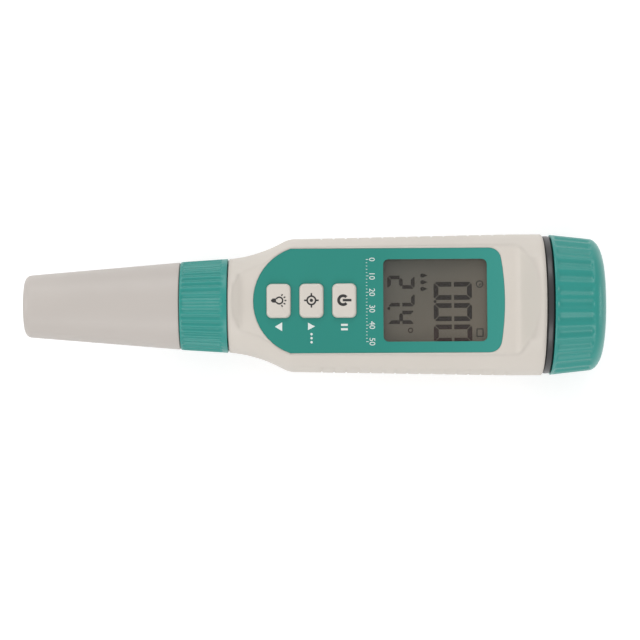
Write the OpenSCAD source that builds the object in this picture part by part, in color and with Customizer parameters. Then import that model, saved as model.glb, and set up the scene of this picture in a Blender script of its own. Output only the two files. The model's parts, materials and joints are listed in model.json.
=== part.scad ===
// Pen-type salinity meter, lying on its back with the display facing up.
// The long axis runs along X, from the sensor tip to the battery cap.

/* [Lengths along the pen] */
// Length of the pale sensor cap
sensor_cap_l = 46.8; // [42:0.2:56]
// Length of the ribbed collar
collar_l = 14.1; // [13:0.1:18]
// Length of the housing
housing_l = 93.5; // [90:0.5:110]
// Thickness of the seal ring
seal_t = 1.85; // [1.2:0.05:3]
// Length of the battery cap
battery_cap_l = 15.6; // [14:0.1:24]

/* [Radii] */
// Radius of the sensor cap at its closed tip
tip_r = 9.2; // [8.8:0.05:10]
// Radius of the housing's neck, where it meets the collar
neck_r = 14.1; // [13.6:0.05:15.5]
// Radius of the barrel at its wide end
barrel_r1 = 21.15; // [20.5:0.05:23]
// Growth of the barrel's radius from the flare to its wide end
barrel_growth = 1.2; // [0.6:0.05:1.6]
// Growth of the collar's radius from the sensor cap to the housing
collar_growth = 0.9; // [0.5:0.05:1.3]
// Step from the collar down to the sensor cap
sensor_cap_step = 0.15; // [0:0.05:0.4]
// Step from the barrel down to the battery cap
battery_cap_step = 0.15; // [0:0.05:0.4]

/* [Housing form] */
// Wall of the housing
wall = 2; // [1.6:0.05:2.2]
// Slope at which the flare starts, in degrees
flare_start = 6; // [2:1:10]
// Slope at which the flare ends, in degrees
flare_end = 29; // [24:1:36]
// Radius of the round from the flare into the barrel
shoulder_round = 7.6; // [4:0.2:10]
// Length of the straight land at the wide end
barrel_land = 10.9; // [6:0.1:16]
// Depth of the narrow flat along the back, on which the meter lies
back_flat = 0.35; // [0.2:0.05:0.4]
// Height of the flat front above the axis at its low end
front_h = 12; // [11.9:0.05:12.4]
// Tilt of the flat front towards the tip, in degrees
front_tilt = 0.99; // [0.6:0.05:1.2]
// Distance from the housing's start to the flat front
front_start = 3.6; // [3:0.1:4.5]
// Distance from the flat front's end to the housing's end
front_end = 7.7; // [7:0.1:9.5]
// Angle of the slope that ends the flat front
slope_angle = 54; // [48:1:60]
// Fillet at the foot of that slope
slope_fillet = 2.2; // [1:0.1:3]
// Number of grip grooves on each side
grip_count = 16; // [8:1:18]
// Pitch of the grip grooves
grip_pitch = 3.66; // [3:0.02:3.8]
// Depth of the grip grooves
grip_depth = 0.35; // [0.2:0.05:0.5]

/* [Label and window] */
// Distance from the housing's start to the label
label_start = 7.5; // [7:0.1:9]
// Distance from the label to the housing's end
label_end = 11.8; // [11.2:0.1:13.5]
// Width of the label
label_w = 31; // [30.6:0.1:31.4]
// Radius of the label's round end
label_arc_r = 16.4; // [16:0.1:18]
// Radius of the label's corners
label_corner_r = 3.6; // [3:0.1:5]
// Thickness of the label
label_t = 0.3; // [0.2:0.05:0.4]
// Length of the window
window_l = 30.6; // [26:0.2:31]
// Width of the window
window_w = 24.5; // [20:0.1:24.8]
// Distance from the window to the label's wide end
window_margin = 5.2; // [4.6:0.1:7]
// Thickness of the clear window
lens_t = 1.2; // [0.8:0.05:1.3]

/* [Keys] */
// Length of a key along the pen
key_l = 7; // [5:0.1:7.4]
// Width of a key across the pen
key_w = 10; // [7:0.1:12]
// Corner radius of a key
key_r = 1.5; // [0.5:0.1:2]
// Pitch of the keys
key_pitch = 9.7; // [9.3:0.1:9.8]
// Distance from the label's round end to the first key's centre
key_start = 7.5; // [7.4:0.1:8.2]
// Height of a key above the label
key_proud = 1.1; // [0.8:0.05:1.8]
// Travel of a key
key_travel = 0.5; // [0.3:0.05:0.6]

/* [Battery end] */
// Length of a battery cell with its nub
cell_l = 44.5; // [42:0.1:45]
// Gap between neighbouring cells, two by two
cell_gap = 0.7; // [0.5:0.05:1]
// Gap between the circuit board and the cells under it
board_room = 0.6; // [0.4:0.05:1.2]
// Step from the barrel down to the threaded neck in the battery cap
neck2_step = 2.95; // [2.7:0.05:3.5]
// Wall of that neck
neck2_wall = 1.3; // [1.1:0.05:1.5]
// Length of that neck
neck2_l = 8.1; // [6:0.1:9]
// Lead of the battery cap's thread
battery_cap_lead = 3; // [2:0.5:4]
// Number of lobes round the battery cap
lobe_count = 24; // [18:1:26]
// Radius of a lobe
lobe_r = 3.2; // [3:0.05:3.6]
// Height of the lobes' taper from the rim to the shoulder
lobe_h = 1.05; // [0.8:0.05:1.1]
// Round of the battery cap's shoulder
cap_round = 5.2; // [4:0.1:6]
// Wall of the battery cap at its closed end
cap_wall = 2.2; // [1.8:0.1:2.6]

/* [Electrode end] */
// Wall of the collar outside its bore, at the sensor cap
collar_wall = 0.8; // [0.75:0.05:1.2]
// Room for the threads between a neck and what screws onto it
thread_room = 0.7; // [0.6:0.05:0.9]
// Wall of the housing's threaded stub round the electrode's plug
stub_wall = 2.3; // [2:0.05:2.8]
// Length of the housing's threaded stub in the collar
stub_l = 9.9; // [9.7:0.1:10]
// Wall of the sensor cap at its mouth
mouth_wall = 1.55; // [1.4:0.05:1.8]
// Wall of the sensor cap
sensor_wall = 1.5; // [1.3:0.05:1.55]
// Thickness of the sensor cap's closed tip
tip_wall = 2.2; // [1.6:0.1:2.6]
// Distance from the tip to the electrode's guard
guard_start = 10; // [9:0.5:12]
// Length of the guard that shows
guard_l = 21; // [18:0.5:24]
// Gap between the sensor cap and the guard's open end
guard_room = 0.52; // [0.4:0.02:1]
// Wall of the guard
guard_wall = 1.3; // [1.1:0.05:1.4]
// Distance from the axis to a conductivity pin
pin_offset = 3.4; // [3.3:0.05:3.6]
// Radius of a conductivity pin
pin_r = 1; // [0.8:0.05:1]
// Number of ribs round the collar
rib_count = 44; // [30:1:48]
// Depth of the grooves between the ribs
rib_depth = 0.38; // [0.2:0.02:0.45]

/* [Clearances] */
// Gap between parts that meet end to end
end_gap = 0.3; // [0.2:0.05:0.5]
// Gap between the sensor cap and the collar
cap_gap = 0.2; // [0.1:0.05:0.4]
// Gap round parts that slide or turn
slide_gap = 0.3; // [0.25:0.01:0.32]
// Gap round parts that are fixed
seat_gap = 0.1; // [0.05:0.01:0.15]
// Gap between faces that rest on each other
face_gap = 0.05; // [0.02:0.01:0.1]

/* [Hidden] */
$fn = 96;

// Stations along the pen, from the tip
collar_x0 = sensor_cap_l + cap_gap;
collar_x1 = collar_x0 + collar_l;
body_x0 = collar_x1 + end_gap;
body_x1 = body_x0 + housing_l;
seal_x0 = body_x1 + face_gap;
seal_x1 = seal_x0 + seal_t;
rim_gap = 0.6;
cap_x0 = seal_x1 + rim_gap;
pen_l = cap_x0 + battery_cap_l;
front_x0 = body_x0 + front_start;
front_x1 = body_x1 - front_end;
neck2_x1 = body_x1 + neck2_l;

// Radii at the electrode end, from the outside in
collar_r1 = neck_r;
collar_r0 = collar_r1 - collar_growth;
collar_bore_r = collar_r0 - collar_wall;
stub_r = collar_bore_r - thread_room;
plug_bore_r = stub_r - stub_wall;
plug_r = plug_bore_r - slide_gap;
sensor_cap_r = collar_r0 - sensor_cap_step;
mouth_r = sensor_cap_r - mouth_wall;
land_r = mouth_r - slide_gap;
guard_r = inner_r(guard_start) - guard_room;

// Layers under the flat front, from its surface down to the circuit board
plate_z = -wall;
glass_t = 1.8;
light_t = 0.8;
pcb_t = 0.8;
glass_z = plate_z - seat_gap - glass_t;
light_z = glass_z - seat_gap - light_t;
pcb_top = light_z - seat_gap;
pcb_z = pcb_top - pcb_t;

// Radii at the battery end, from the outside in
barrel_r0 = barrel_r1 - barrel_growth;
battery_cap_r = barrel_r1 - battery_cap_step;
lobe_root_r = battery_cap_r - lobe_h;
neck2_r = barrel_r1 - neck2_step;
neck2_in = neck2_r - neck2_wall;
cradle_r = neck2_in - slide_gap;

// The four cells fill the room between the circuit board and the neck
cell_x1 = neck2_x1 + 0.6;
cell_x0 = cell_x1 - cell_l;
cell_top = pcb_under(cell_x0) - board_room;
cell_room = cradle_r - face_gap;
cell_b = cell_gap + 6 * (cell_gap - cell_top) + 2 * cell_room;
cell_c = pow(cell_gap / 2, 2) + pow(cell_gap - cell_top, 2) - pow(cell_room, 2);
cell_r = (sqrt(pow(cell_b, 2) - 36 * cell_c) - cell_b) / 18;
cell_pitch = 2 * cell_r + cell_gap;
cell_drop = cell_pitch / 2 + cell_r - cell_top;

// The housing's flare, a hollow arc and then a round, leads into the tapered barrel
edge = 0.3;
flare_l = 19.7;
taper = atan2(barrel_r1 - barrel_r0, housing_l - barrel_land - flare_l);
flare_x0 = body_x0 + 0.6;

// The flat along the back runs parallel to the barrel's taper
flat_r = barrel_r1 - back_flat;
axis_h = max(flat_r + (barrel_land - edge / 2) * tan(taper), battery_cap_r);

// The flare's arcs
round_rise = shoulder_round * (cos(taper) - cos(flare_end));
flare_r = (barrel_r0 - neck_r - round_rise) / (cos(flare_start) - cos(flare_end));
flare_x1 = flare_x0 + flare_r * (sin(flare_end) - sin(flare_start));
flare_top = neck_r + flare_r * (cos(flare_start) - cos(flare_end));
outer_profile = concat(
    [[body_x0, neck_r - edge], [body_x0 + edge, neck_r]],
    [for (i = [0:10]) let (t = flare_start + (flare_end - flare_start) * i / 10)
        [flare_x0 + flare_r * (sin(t) - sin(flare_start)), neck_r + flare_r * (cos(flare_start) - cos(t))]],
    [for (i = [1:6]) let (t = flare_end + (taper - flare_end) * i / 6)
        [flare_x1 + shoulder_round * (sin(flare_end) - sin(t)),
            flare_top + shoulder_round * (cos(t) - cos(flare_end))]],
    [[body_x1 - barrel_land, barrel_r1], [body_x1 - edge, barrel_r1], [body_x1, barrel_r1 - edge]]
);

// The cavity follows the outside, one wall in
bulkhead = 4.4;
cavity_x0 = body_x0 + bulkhead;
cavity_x1 = body_x1 - wall;

// The label, and what lies under it in layers
label_x0 = body_x0 + label_start;
label_x1 = body_x1 - label_end;
label_end_arc = 76;
plate_inset = 1;
plate_step = 0.9;
plate_flange = 0.8;
window_x = label_x1 - window_margin - window_l / 2;
window_round = 1.6;
lens_edge = 0.8;
glass_l = window_l + 2;
glass_w = window_w + 1.1;
frame_wall = 0.55;
zebra_w = 1.1;
pcb_inset = 2.3;
screw_r = 0.8;
screw_l = 3;
screw_head_r = 1.6;
screw_head_t = 0.9;
boss_r = 1.9;
boss_places = [[label_x0 + 13.7, 10.4], [window_x - glass_l / 2 - 3.9, 10.7]];
switch_l = 6;
switch_h = 1.4;
key_names = ["light", "cal", "power"];
key_flange = 0.8;
key_flange_t = 0.5;
key_under = plate_z - seat_gap - key_flange_t;
plunger_top = key_under - key_travel - seat_gap;
plunger_r = 1.7;

// Chips and a capacitor under the circuit board
chip_l = 10;
chip_t = 1.4;
driver_l = 6;
driver_w = 5;
driver_t = 1.2;
gate_l = 5;
gate_w = 4;
gate_t = 1.1;
crystal_l = 3.2;
crystal_w = 8;
crystal_t = 2;
capacitor_r = 2;
capacitor_l = 4;

// The battery bay
spring_l = 3.8;
cradle_wall = 2;
cradle_x0 = cell_x0 - spring_l - cradle_wall;
cradle_x1 = neck2_x1 - 2;
cradle_open = 2.63;
cradle_top = cell_top - cradle_open;
cell_places = [for (y = [-1, 1], z = [-1, 1]) [y * cell_pitch / 2, z * cell_pitch / 2 - cell_drop]];
strip_t = 0.4;
strip_w = 6;
strip_shift = 0.6;
nub_r = 1.9;
nub_l = 0.8;
carrier_x0 = cell_x1 + face_gap + strip_t;
carrier_t = 2.6;
carrier_x1 = carrier_x0 + carrier_t;
carrier_r = cradle_r - 0.2;
leg_w = 3.4;
leg_h = 3.6;
leg_y = cell_pitch / 2 + cell_r + 0.45;
lead_r = 0.6;
lead_run = 5;
lead_bend = 2;
thin_lead_r = 0.45;
cap_turns = 2;
cap_rise = cap_turns * battery_cap_lead;
leg_x0 = cradle_x1 - cap_rise - 0.5;
boss2_r = 3.4;
ceiling_slope = 5;
ceiling_step = 3.2;
pivot_r = 1.2;
pivot_head_r = 2.5;
pivot_head_t = 1.2;
pivot_fit = 0.1;
cap_bore_r = neck2_r + thread_room;
ceiling_x = pen_l - cap_wall;
rim_r = cap_bore_r + 0.75;
seal_r = barrel_r1 - 0.45;
seal_round = 0.7;

// The electrode, its plug and its socket
lip_t = 2.2;
rib_groove_r = 0.5;
flange_r = collar_bore_r - slide_gap;
stub_x0 = body_x0 - stub_l;
flange_x0 = collar_x0 + lip_t + 0.2;
flange_x1 = stub_x0 - 0.2;
plug_x1 = body_x0 - 0.8;
sleeve_r = 1.05;
sleeve_bore_r = 0.6;
plug_pin_r = 0.5;
plug_pin_root = 3.5;
pin_circle = 4.6;
socket_x0 = plug_x1 + 0.4;
socket_disc_t = 2.5;
key_rib_w = 2;
key_rib_h = 0.9;
guard_x1 = guard_start + guard_l;
guard_root_r = guard_r + 0.9;
slot_r = 2.6;
slot_x0 = guard_start + 3;
slot_x1 = guard_x1 - 6;
spigot_r = guard_r - guard_wall - face_gap;
pin_x0 = guard_start + 4;
pin_root = 2.5;
probe_r = 1.5;
probe_drop = pin_offset + 0.3;
land_l = 5.4;
land_x0 = sensor_cap_l - land_l;
o_ring_r = 0.85;
ring_pinch = 0.1;
groove_depth = 1.55;
cap_ring_x = sensor_cap_l - land_l / 2;
plug_ring_x = (flange_x1 + plug_x1) / 2 - 0.5;

// Points of an arc about c, from angle a0 to a1
function arc(c, r, a0, a1, n) =
    [for (i = [0:n]) let (a = a0 + (a1 - a0) * i / n) [c[0] + r * cos(a), c[1] + r * sin(a)]];

// Radius of the housing's outside at x
function outer_r(x) = lookup(x, outer_profile);

// Radius of the sensor cap's outside at x
function sensor_r(x) = tip_r + (sensor_cap_r - tip_r) * x / sensor_cap_l;

// Radius of its inside at x
function inner_r(x) = sensor_r(x) - sensor_wall;

// Unit vector from a to b
function toward(a, b) = (b - a) / norm(b - a);

// Points of the fillet of radius r at the corner b between a and c
function fillet(a, b, c, r, n = 6) = let (
    p = toward(b, a),
    q = toward(b, c),
    half = acos(p * q) / 2,
    mid = b + toward([0, 0], p + q) * r / sin(half),
    t0 = b + p * r / tan(half),
    t1 = b + q * r / tan(half),
    a0 = atan2(t0[1] - mid[1], t0[0] - mid[0]),
    turn = atan2(t1[1] - mid[1], t1[0] - mid[0]) - a0
) arc(mid, r, a0, a0 + (turn > 180 ? turn - 360 : turn < -180 ? turn + 360 : turn), n);

// The label's outline, moved in by inset
function label_outline(inset) = let (
    half = label_w / 2 - inset,
    ra = label_arc_r - inset,
    re = label_end_arc - inset,
    rc = max(label_corner_r - inset, 0.8),
    start = asin(half / ra),
    ce = label_x1 - label_end_arc,
    cx = ce + sqrt(pow(re - rc, 2) - pow(half - rc, 2)),
    turn = atan2(half - rc, cx - ce)
) concat(
    arc([label_x0 + label_arc_r, 0], ra, 180 - start, 180 + start, 20),
    arc([cx, -(half - rc)], rc, -90, -turn, 6),
    arc([ce, 0], re, -turn, turn, 8),
    arc([cx, half - rc], rc, turn, 90, 6)
);

// Moves the pen from its tip and axis to its resting place
module place() {
    translate([-pen_l / 2, 0, axis_h]) children();
}

// Turns a closed outline of [x, radius] points about the axis
module turned(points) {
    rotate([0, 90, 0]) rotate_extrude() polygon([for (p = points) [p[1], p[0]]]);
}

// A round bar on the axis from x0 to x1
module rod(x0, x1, r) {
    translate([x0, 0, 0]) rotate([0, 90, 0]) cylinder(h = x1 - x0, r = r);
}

// Extrudes an outline in Y and Z along the pen
module along(x0, x1) {
    translate([x0, 0, 0]) rotate([90, 0, 90]) linear_extrude(x1 - x0) children();
}

// Extrudes an outline in X and Z across the pen
module across(width) {
    rotate([90, 0, 0]) linear_extrude(width, center = true) children();
}

// Frame of the flat front: x along it, z out of it, zero on its surface
module on_front() {
    translate([front_x0, 0, front_h]) rotate([0, -front_tilt, 0]) translate([-front_x0, 0, 0]) children();
}

// A layer of the label's outline between two heights on the front
module layer(z0, z1, inset) {
    translate([0, 0, z0]) linear_extrude(z1 - z0) polygon(label_outline(inset));
}

// A flat block with round corners, centred at x on the front
module pad(x, l, w, r, z0, z1) {
    a = l / 2 - r;
    b = w / 2 - r;
    points = concat(
        arc([a, b], r, 0, 90, 6), arc([-a, b], r, 90, 180, 6),
        arc([-a, -b], r, 180, 270, 6), arc([a, -b], r, 270, 360, 6)
    );
    translate([x, 0, z0]) linear_extrude(z1 - z0) polygon(points);
}

// A straight block on the front
module block(x, y, l, w, z0, z1) {
    translate([x - l / 2, y - w / 2, z0]) cube([l, w, z1 - z0]);
}

module at_bosses() {
    for (p = boss_places, side = [-1, 1]) translate([p[0], side * p[1], 0]) children();
}

module at_keys() {
    for (i = [0:len(key_names) - 1]) translate([key_x(i), 0, 0]) children();
}

function key_x(i) = label_x0 + key_start + i * key_pitch;

// What the flat front and its two end steps take off the round housing
module front_cut() {
    foot = [front_x0, front_h];
    heel = [front_x1, front_h + (front_x1 - front_x0) * tan(front_tilt)];
    left = foot + [-6, 6];
    right = heel + 20 * [cos(slope_angle), sin(slope_angle)];
    across(4 * barrel_r1) polygon(concat(
        [[left[0], 2 * barrel_r1], left],
        fillet(left, foot, heel, 1),
        fillet(foot, heel, right, slope_fillet),
        [right, [right[0], 2 * barrel_r1]]
    ));
}

// What the narrow flat along the back takes off it
module back_cut() {
    translate([body_x1 - barrel_land, 0, -flat_r]) rotate([0, taper, 0])
        translate([-housing_l, -barrel_r1, -barrel_r1]) cube([2 * housing_l, 2 * barrel_r1, barrel_r1]);
}

module cavity() {
    points = concat(
        [[cavity_x0, 0], [cavity_x0, outer_r(cavity_x0) - wall]],
        [for (p = outer_profile) if (p[0] > cavity_x0 + 0.1 && p[0] < cavity_x1 - 0.1)
            [p[0], p[1] - wall]],
        [[cavity_x1, outer_r(cavity_x1) - wall], [cavity_x1, 0]]
    );
    low = -2 * barrel_r1;
    intersection() {
        turned(points);
        across(4 * barrel_r1) polygon([
            [cavity_x0 - 1, low],
            [cavity_x1 + 1, low],
            [cavity_x1 + 1, front_h - wall + (cavity_x1 + 1 - front_x0) * tan(front_tilt)],
            [cavity_x0 - 1, front_h - wall + (cavity_x0 - 1 - front_x0) * tan(front_tilt)]
        ]);
    }
}

// Transverse grooves low on both sides of the barrel
module grips() {
    last = front_x1 - 3.2;
    for (i = [0:grip_count - 1], side = [0, 180]) {
        x = last - i * grip_pitch;
        r = outer_r(x);
        rotate([side, 0, 0]) rotate([0, 90, 0]) rotate([0, 0, 72])
            rotate_extrude(angle = 36)
            polygon([[r - grip_depth, x], [r + 0.2, x - 0.55], [r + 0.2, x + 0.55]]);
    }
}

module housing() color([0.83, 0.81, 0.77]) place() difference() {
    union() {
        difference() {
            turned(concat([[body_x0, 0]], outer_profile, [[body_x1, 0]]));
            front_cut();
            back_cut();
        }
        rod(stub_x0, body_x0 + 1, stub_r);
        rod(body_x1 - 1, neck2_x1, neck2_r);
    }
    rod(stub_x0 - 1, cavity_x0 + 1, plug_bore_r);
    translate([stub_x0 - 1, -key_rib_w / 2 - slide_gap, 0])
        cube([body_x0 - stub_x0 + 1, key_rib_w + 2 * slide_gap, plug_r + key_rib_h + slide_gap]);
    cavity();
    rod(cavity_x1 - 1, neck2_x1 + 1, neck2_in);
    on_front() {
        layer(-label_t, 1, -seat_gap);
        layer(-label_t - plate_flange - seat_gap, 1, plate_inset - seat_gap);
        layer(-wall - 1, 0, plate_inset + plate_step - seat_gap);
    }
    grips();
}

module front_plate() color([0.8, 0.78, 0.74]) place() on_front() difference() {
    union() {
        layer(-label_t - plate_flange, -label_t, plate_inset);
        layer(plate_z, -label_t - plate_flange + 0.1, plate_inset + plate_step);
        at_bosses() translate([0, 0, pcb_top]) cylinder(h = plate_z - pcb_top + 0.5, r = boss_r);
    }
    at_bosses() translate([0, 0, pcb_top - 1]) cylinder(h = screw_l + 0.6, r = screw_r + face_gap);
    at_keys() pad(0, key_l + 0.5, key_w + 0.5, key_r + 0.2, plate_z - 1, 1);
    pad(window_x, window_l + 2 * lens_edge + 0.2, window_w + 2 * lens_edge + 0.2, window_round,
        -label_t - lens_t, 1);
    pad(window_x, window_l + 0.4, window_w + 0.4, window_round, plate_z - 1, 1);
}

module front_overlay() color([0.22, 0.55, 0.51]) place() on_front() difference() {
    layer(-label_t, 0, 0);
    at_keys() pad(0, key_l + 0.7, key_w + 0.7, key_r + 0.3, -1, 1);
    pad(window_x, window_l, window_w, window_round, -1, 1);
}

module display_window() color([0.8, 0.85, 0.85, 0.4]) place() on_front()
    pad(window_x, window_l + 2 * lens_edge, window_w + 2 * lens_edge, window_round,
        -label_t - lens_t, -label_t);

module lcd_glass() color([0.42, 0.4, 0.36]) place() on_front()
    pad(window_x, glass_l, glass_w, 0.4, glass_z, plate_z - seat_gap);

module lcd_frame() color([0.15, 0.15, 0.16]) place() on_front() difference() {
    pad(window_x, glass_l + 2 * frame_wall + 0.2, glass_w + 2 * frame_wall, 0.8, pcb_top, plate_z);
    pad(window_x, glass_l + 0.2, glass_w + 0.2, 0.5, pcb_top - 1, plate_z + 1);
}

module backlight_panel() color([0.9, 0.92, 0.9]) place() on_front()
    pad(window_x, glass_l - 1, glass_w - 2 * zebra_w - 0.6, 0.5, light_z, glass_z - seat_gap);

module zebra_strips() color([0.3, 0.3, 0.35]) place() on_front()
    for (side = [-1, 1])
        block(window_x, side * (glass_w - zebra_w) / 2, glass_l - 2, zebra_w, pcb_top, glass_z);

module main_pcb() color([0.1, 0.4, 0.25]) place() on_front() difference() {
    layer(pcb_z, pcb_top, pcb_inset);
    at_bosses() translate([0, 0, pcb_z - 1]) cylinder(h = pcb_t + 2, r = screw_r + 0.15);
}

module pcb_screws() color([0.7, 0.7, 0.72]) place() on_front() at_bosses() {
    translate([0, 0, pcb_z]) cylinder(h = screw_l, r = screw_r);
    translate([0, 0, pcb_z - screw_head_t]) cylinder(h = screw_head_t, r = screw_head_r);
}

module tact_switches() color([0.2, 0.2, 0.22]) place() on_front() at_keys() {
    block(0, 0, switch_l, switch_l, pcb_top, pcb_top + switch_h);
    translate([0, 0, pcb_top]) cylinder(h = plunger_top - pcb_top, r = plunger_r);
}

module circuit_chips() color([0.12, 0.12, 0.13]) place() on_front() {
    block(key_x(1), chip_l / 3, chip_l, chip_l, pcb_z - chip_t, pcb_z);
    block(key_x(1) + 1.5 * driver_l, -driver_l, driver_l, driver_w, pcb_z - driver_t, pcb_z);
    block(key_x(0) + gate_l / 2, -1.6 * gate_w, gate_l, gate_w, pcb_z - gate_t, pcb_z);
    block(key_x(2) + crystal_l, 0.7 * crystal_w, crystal_l, crystal_w, pcb_z - crystal_t, pcb_z);
    translate([key_x(0) + 1.5 * capacitor_r, 4 * capacitor_r, pcb_z - capacitor_l])
        cylinder(h = capacitor_l, r = capacitor_r);
}

// One key: a softly domed cap with a flange under the front plate
module key(i) {
    place() on_front() translate([key_x(i), 0, 0]) {
        pad(0, key_l + 2 * key_flange, key_w + 2 * key_flange, key_r, key_under, key_under + key_flange_t);
        pad(0, key_l, key_w, key_r, key_under, key_proud - 0.5);
        hull() {
            pad(0, key_l, key_w, key_r, key_proud - 0.55, key_proud - 0.5);
            pad(0, key_l - 0.35, key_w - 0.35, key_r - 0.1, key_proud - 0.22, key_proud - 0.2);
            pad(0, key_l - 1.2, key_w - 1.2, key_r - 0.4, key_proud - 0.02, key_proud);
        }
    }
}

module light_key() color([0.83, 0.81, 0.77]) key(0);

module cal_key() color([0.83, 0.81, 0.77]) key(1);

module power_key() color([0.83, 0.81, 0.77]) key(2);

module at_cells() {
    for (p = cell_places) translate([0, p[0], p[1]]) children();
}

// Cells whose nub points to the battery cap lie on one diagonal
module at_diagonal(sign) {
    for (p = cell_places) if (sign * p[0] * (p[1] + cell_drop) > 0)
        translate([0, p[0], p[1]]) children();
}

// One leg of the contact carrier from x0 to x1, or with room round it its channel
module leg(side, x0, x1, room) {
    w = leg_w + 2 * room;
    h = leg_h + 2 * room;
    translate([x0, side * (leg_y + leg_w / 2) - w / 2, -cell_drop - h / 2]) cube([x1 - x0, w, h]);
}

module battery_cradle() color([0.2, 0.2, 0.2]) place() difference() {
    union() {
        along(cradle_x0, cradle_x1) intersection() {
            circle(r = cradle_r);
            translate([-cradle_r, -cradle_r]) square([2 * cradle_r, cradle_r + cradle_top]);
        }
        for (turn = [-60, 0, 60]) rotate([turn, 0, 0])
            translate([cradle_x0, -0.8, -outer_r(cradle_x0) + wall + seat_gap])
            cube([body_x1 - wall - 2 - cradle_x0, 1.6, 4]);
    }
    at_cells() rod(cradle_x0 + cradle_wall, cradle_x1 + 1, cell_r + 0.2);
    for (side = [-1, 1]) leg(side, leg_x0 - 1, cradle_x1 + 1, slide_gap);
}

module battery_cells() color([0.3, 0.3, 0.5]) place() {
    at_diagonal(1) {
        rod(cell_x0, cell_x1 - nub_l, cell_r);
        rod(cell_x1 - nub_l - 0.1, cell_x1, nub_r);
    }
    at_diagonal(-1) {
        rod(cell_x0 + nub_l, cell_x1, cell_r);
        rod(cell_x0, cell_x0 + nub_l + 0.1, nub_r);
    }
}

// A tapered coil spring of round wire, swept along its turns
module coil(x0, x1, r0, r1, wire, turns) {
    steps = turns * 16;
    sides = 6;
    function spot(i) = let (t = i / steps, r = r0 + (r1 - r0) * t)
        [x0 + wire + (x1 - x0 - 2 * wire) * t, r * cos(22.5 * i), r * sin(22.5 * i)];
    points = [for (i = [0:steps], k = [0:sides - 1]) let (
        c = spot(i),
        out = toward([0, 0], [c[1], c[2]]),
        a = 360 * k / sides
    ) c + wire * [cos(a), out[0] * sin(a), out[1] * sin(a)]];
    rings = [for (i = [0:steps - 1], k = [0:sides - 1])
        let (a = i * sides + k, b = i * sides + (k + 1) % sides) [a, b, b + sides, a + sides]];
    ends = [[for (k = [sides - 1:-1:0]) k], [for (k = [0:sides - 1]) steps * sides + k]];
    polyhedron(points, concat(rings, ends), convexity = 8);
}

module battery_springs() color([0.75, 0.75, 0.77]) place() at_diagonal(1)
    coil(cradle_x0 + cradle_wall, cell_x0 - face_gap, 4, 2.4, 0.35, 4);

// Bent leaves that meet the nubs at the closed end
module battery_terminals() color([0.75, 0.75, 0.77]) place() at_diagonal(-1) {
    foot = cradle_x0 + cradle_wall;
    tip = cell_x0 - face_gap;
    across(strip_w) difference() {
        polygon([[foot, -4], [foot, 4], [foot + 0.4, 4], [tip, 1.5], [tip, -1.5], [foot + 0.4, -4]]);
        polygon([[foot + 0.4, -3.4], [foot + 0.4, 3.4], [tip - 0.4, 1.3], [tip - 0.4, -1.3]]);
    }
}

// A wire of two straight runs and a round bend, from x0 at height z0 up to z1 at x1
module wire(x0, x1, y, z0, z1, r) {
    bend = lead_bend;
    side = z1 > z0 ? 1 : -1;
    translate([0, y, z0]) rod(min(x0, x1 - bend), max(x0, x1 - bend), r);
    translate([x1 - bend, y, z0 + side * bend]) rotate([90, 0, 0])
        rotate([0, 0, side > 0 ? -90 : 0])
        rotate_extrude(angle = 90) translate([bend, 0]) circle(r = r, $fn = 24);
    translate([x1, y, min(z0 + side * bend, z1)]) cylinder(h = abs(z1 - z0) - bend, r = r, $fn = 24);
}

// Height of the circuit board's underside above the axis at x
function pcb_under(x) = front_h + pcb_z + (x - front_x0) * tan(front_tilt);

module battery_leads() color([0.6, 0.15, 0.12]) place() for (side = [-1, 1])
    mirror([0, side < 0 ? 1 : 0, 0]) translate([cradle_x0, 0, 0]) mirror([1, 0, 0])
        wire(0, lead_run, cell_pitch / 2, lead_r, pcb_under(cradle_x0 - lead_run) - face_gap, lead_r);

module contact_carrier() color([0.85, 0.85, 0.83]) place() difference() {
    union() {
        rod(carrier_x0, carrier_x1, carrier_r);
        for (side = [-1, 1]) leg(side, leg_x0, carrier_x1, 0);
    }
    rod(carrier_x0 - 1, carrier_x1 + 1, pivot_r + pivot_fit);
    rod(carrier_x0 - 1, carrier_x0 + pivot_head_t + 0.1, pivot_head_r + slide_gap);
}

module contact_strips() color([0.78, 0.76, 0.7]) place() for (side = [-1, 1]) {
    y = side * (cell_pitch / 2 + strip_shift);
    h = cell_pitch + strip_w;
    translate([carrier_x0 - strip_t, y - strip_w / 2, -cell_drop - h / 2]) cube([strip_t, strip_w, h]);
}

module carrier_screw() color([0.7, 0.7, 0.72]) place() {
    rod(carrier_x0 + 0.1, carrier_x0 + pivot_head_t, pivot_head_r);
    rod(carrier_x0 + pivot_head_t - 0.1, min(ceiling_x + 0.6, pen_l - 0.8), pivot_r);
}

// The battery cap's smooth outside: rim, straight side, lightly domed taper, round shoulder
module cap_envelope() {
    top = [lobe_root_r - cap_round, pen_l - cap_round];
    side = [cap_x0 + 0.9, battery_cap_r - 0.05];
    run = top[1] + 0.6 - side[0];
    turned(concat(
        [[cap_x0, 0], [cap_x0, battery_cap_r - 0.2]],
        [[cap_x0 + 0.2, battery_cap_r], [cap_x0 + 0.6, battery_cap_r]],
        [for (i = [0:6]) let (t = i / 6)
            [side[0] + run * t, side[1] - (side[1] - lobe_root_r - 0.04) * pow(t, 1.6)]],
        [for (i = [1:8]) let (a = 7 + 83 * i / 8)
            [top[1] + cap_round * sin(a), top[0] + cap_round * cos(a)]],
        [[pen_l, 0]]
    ));
}

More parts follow.
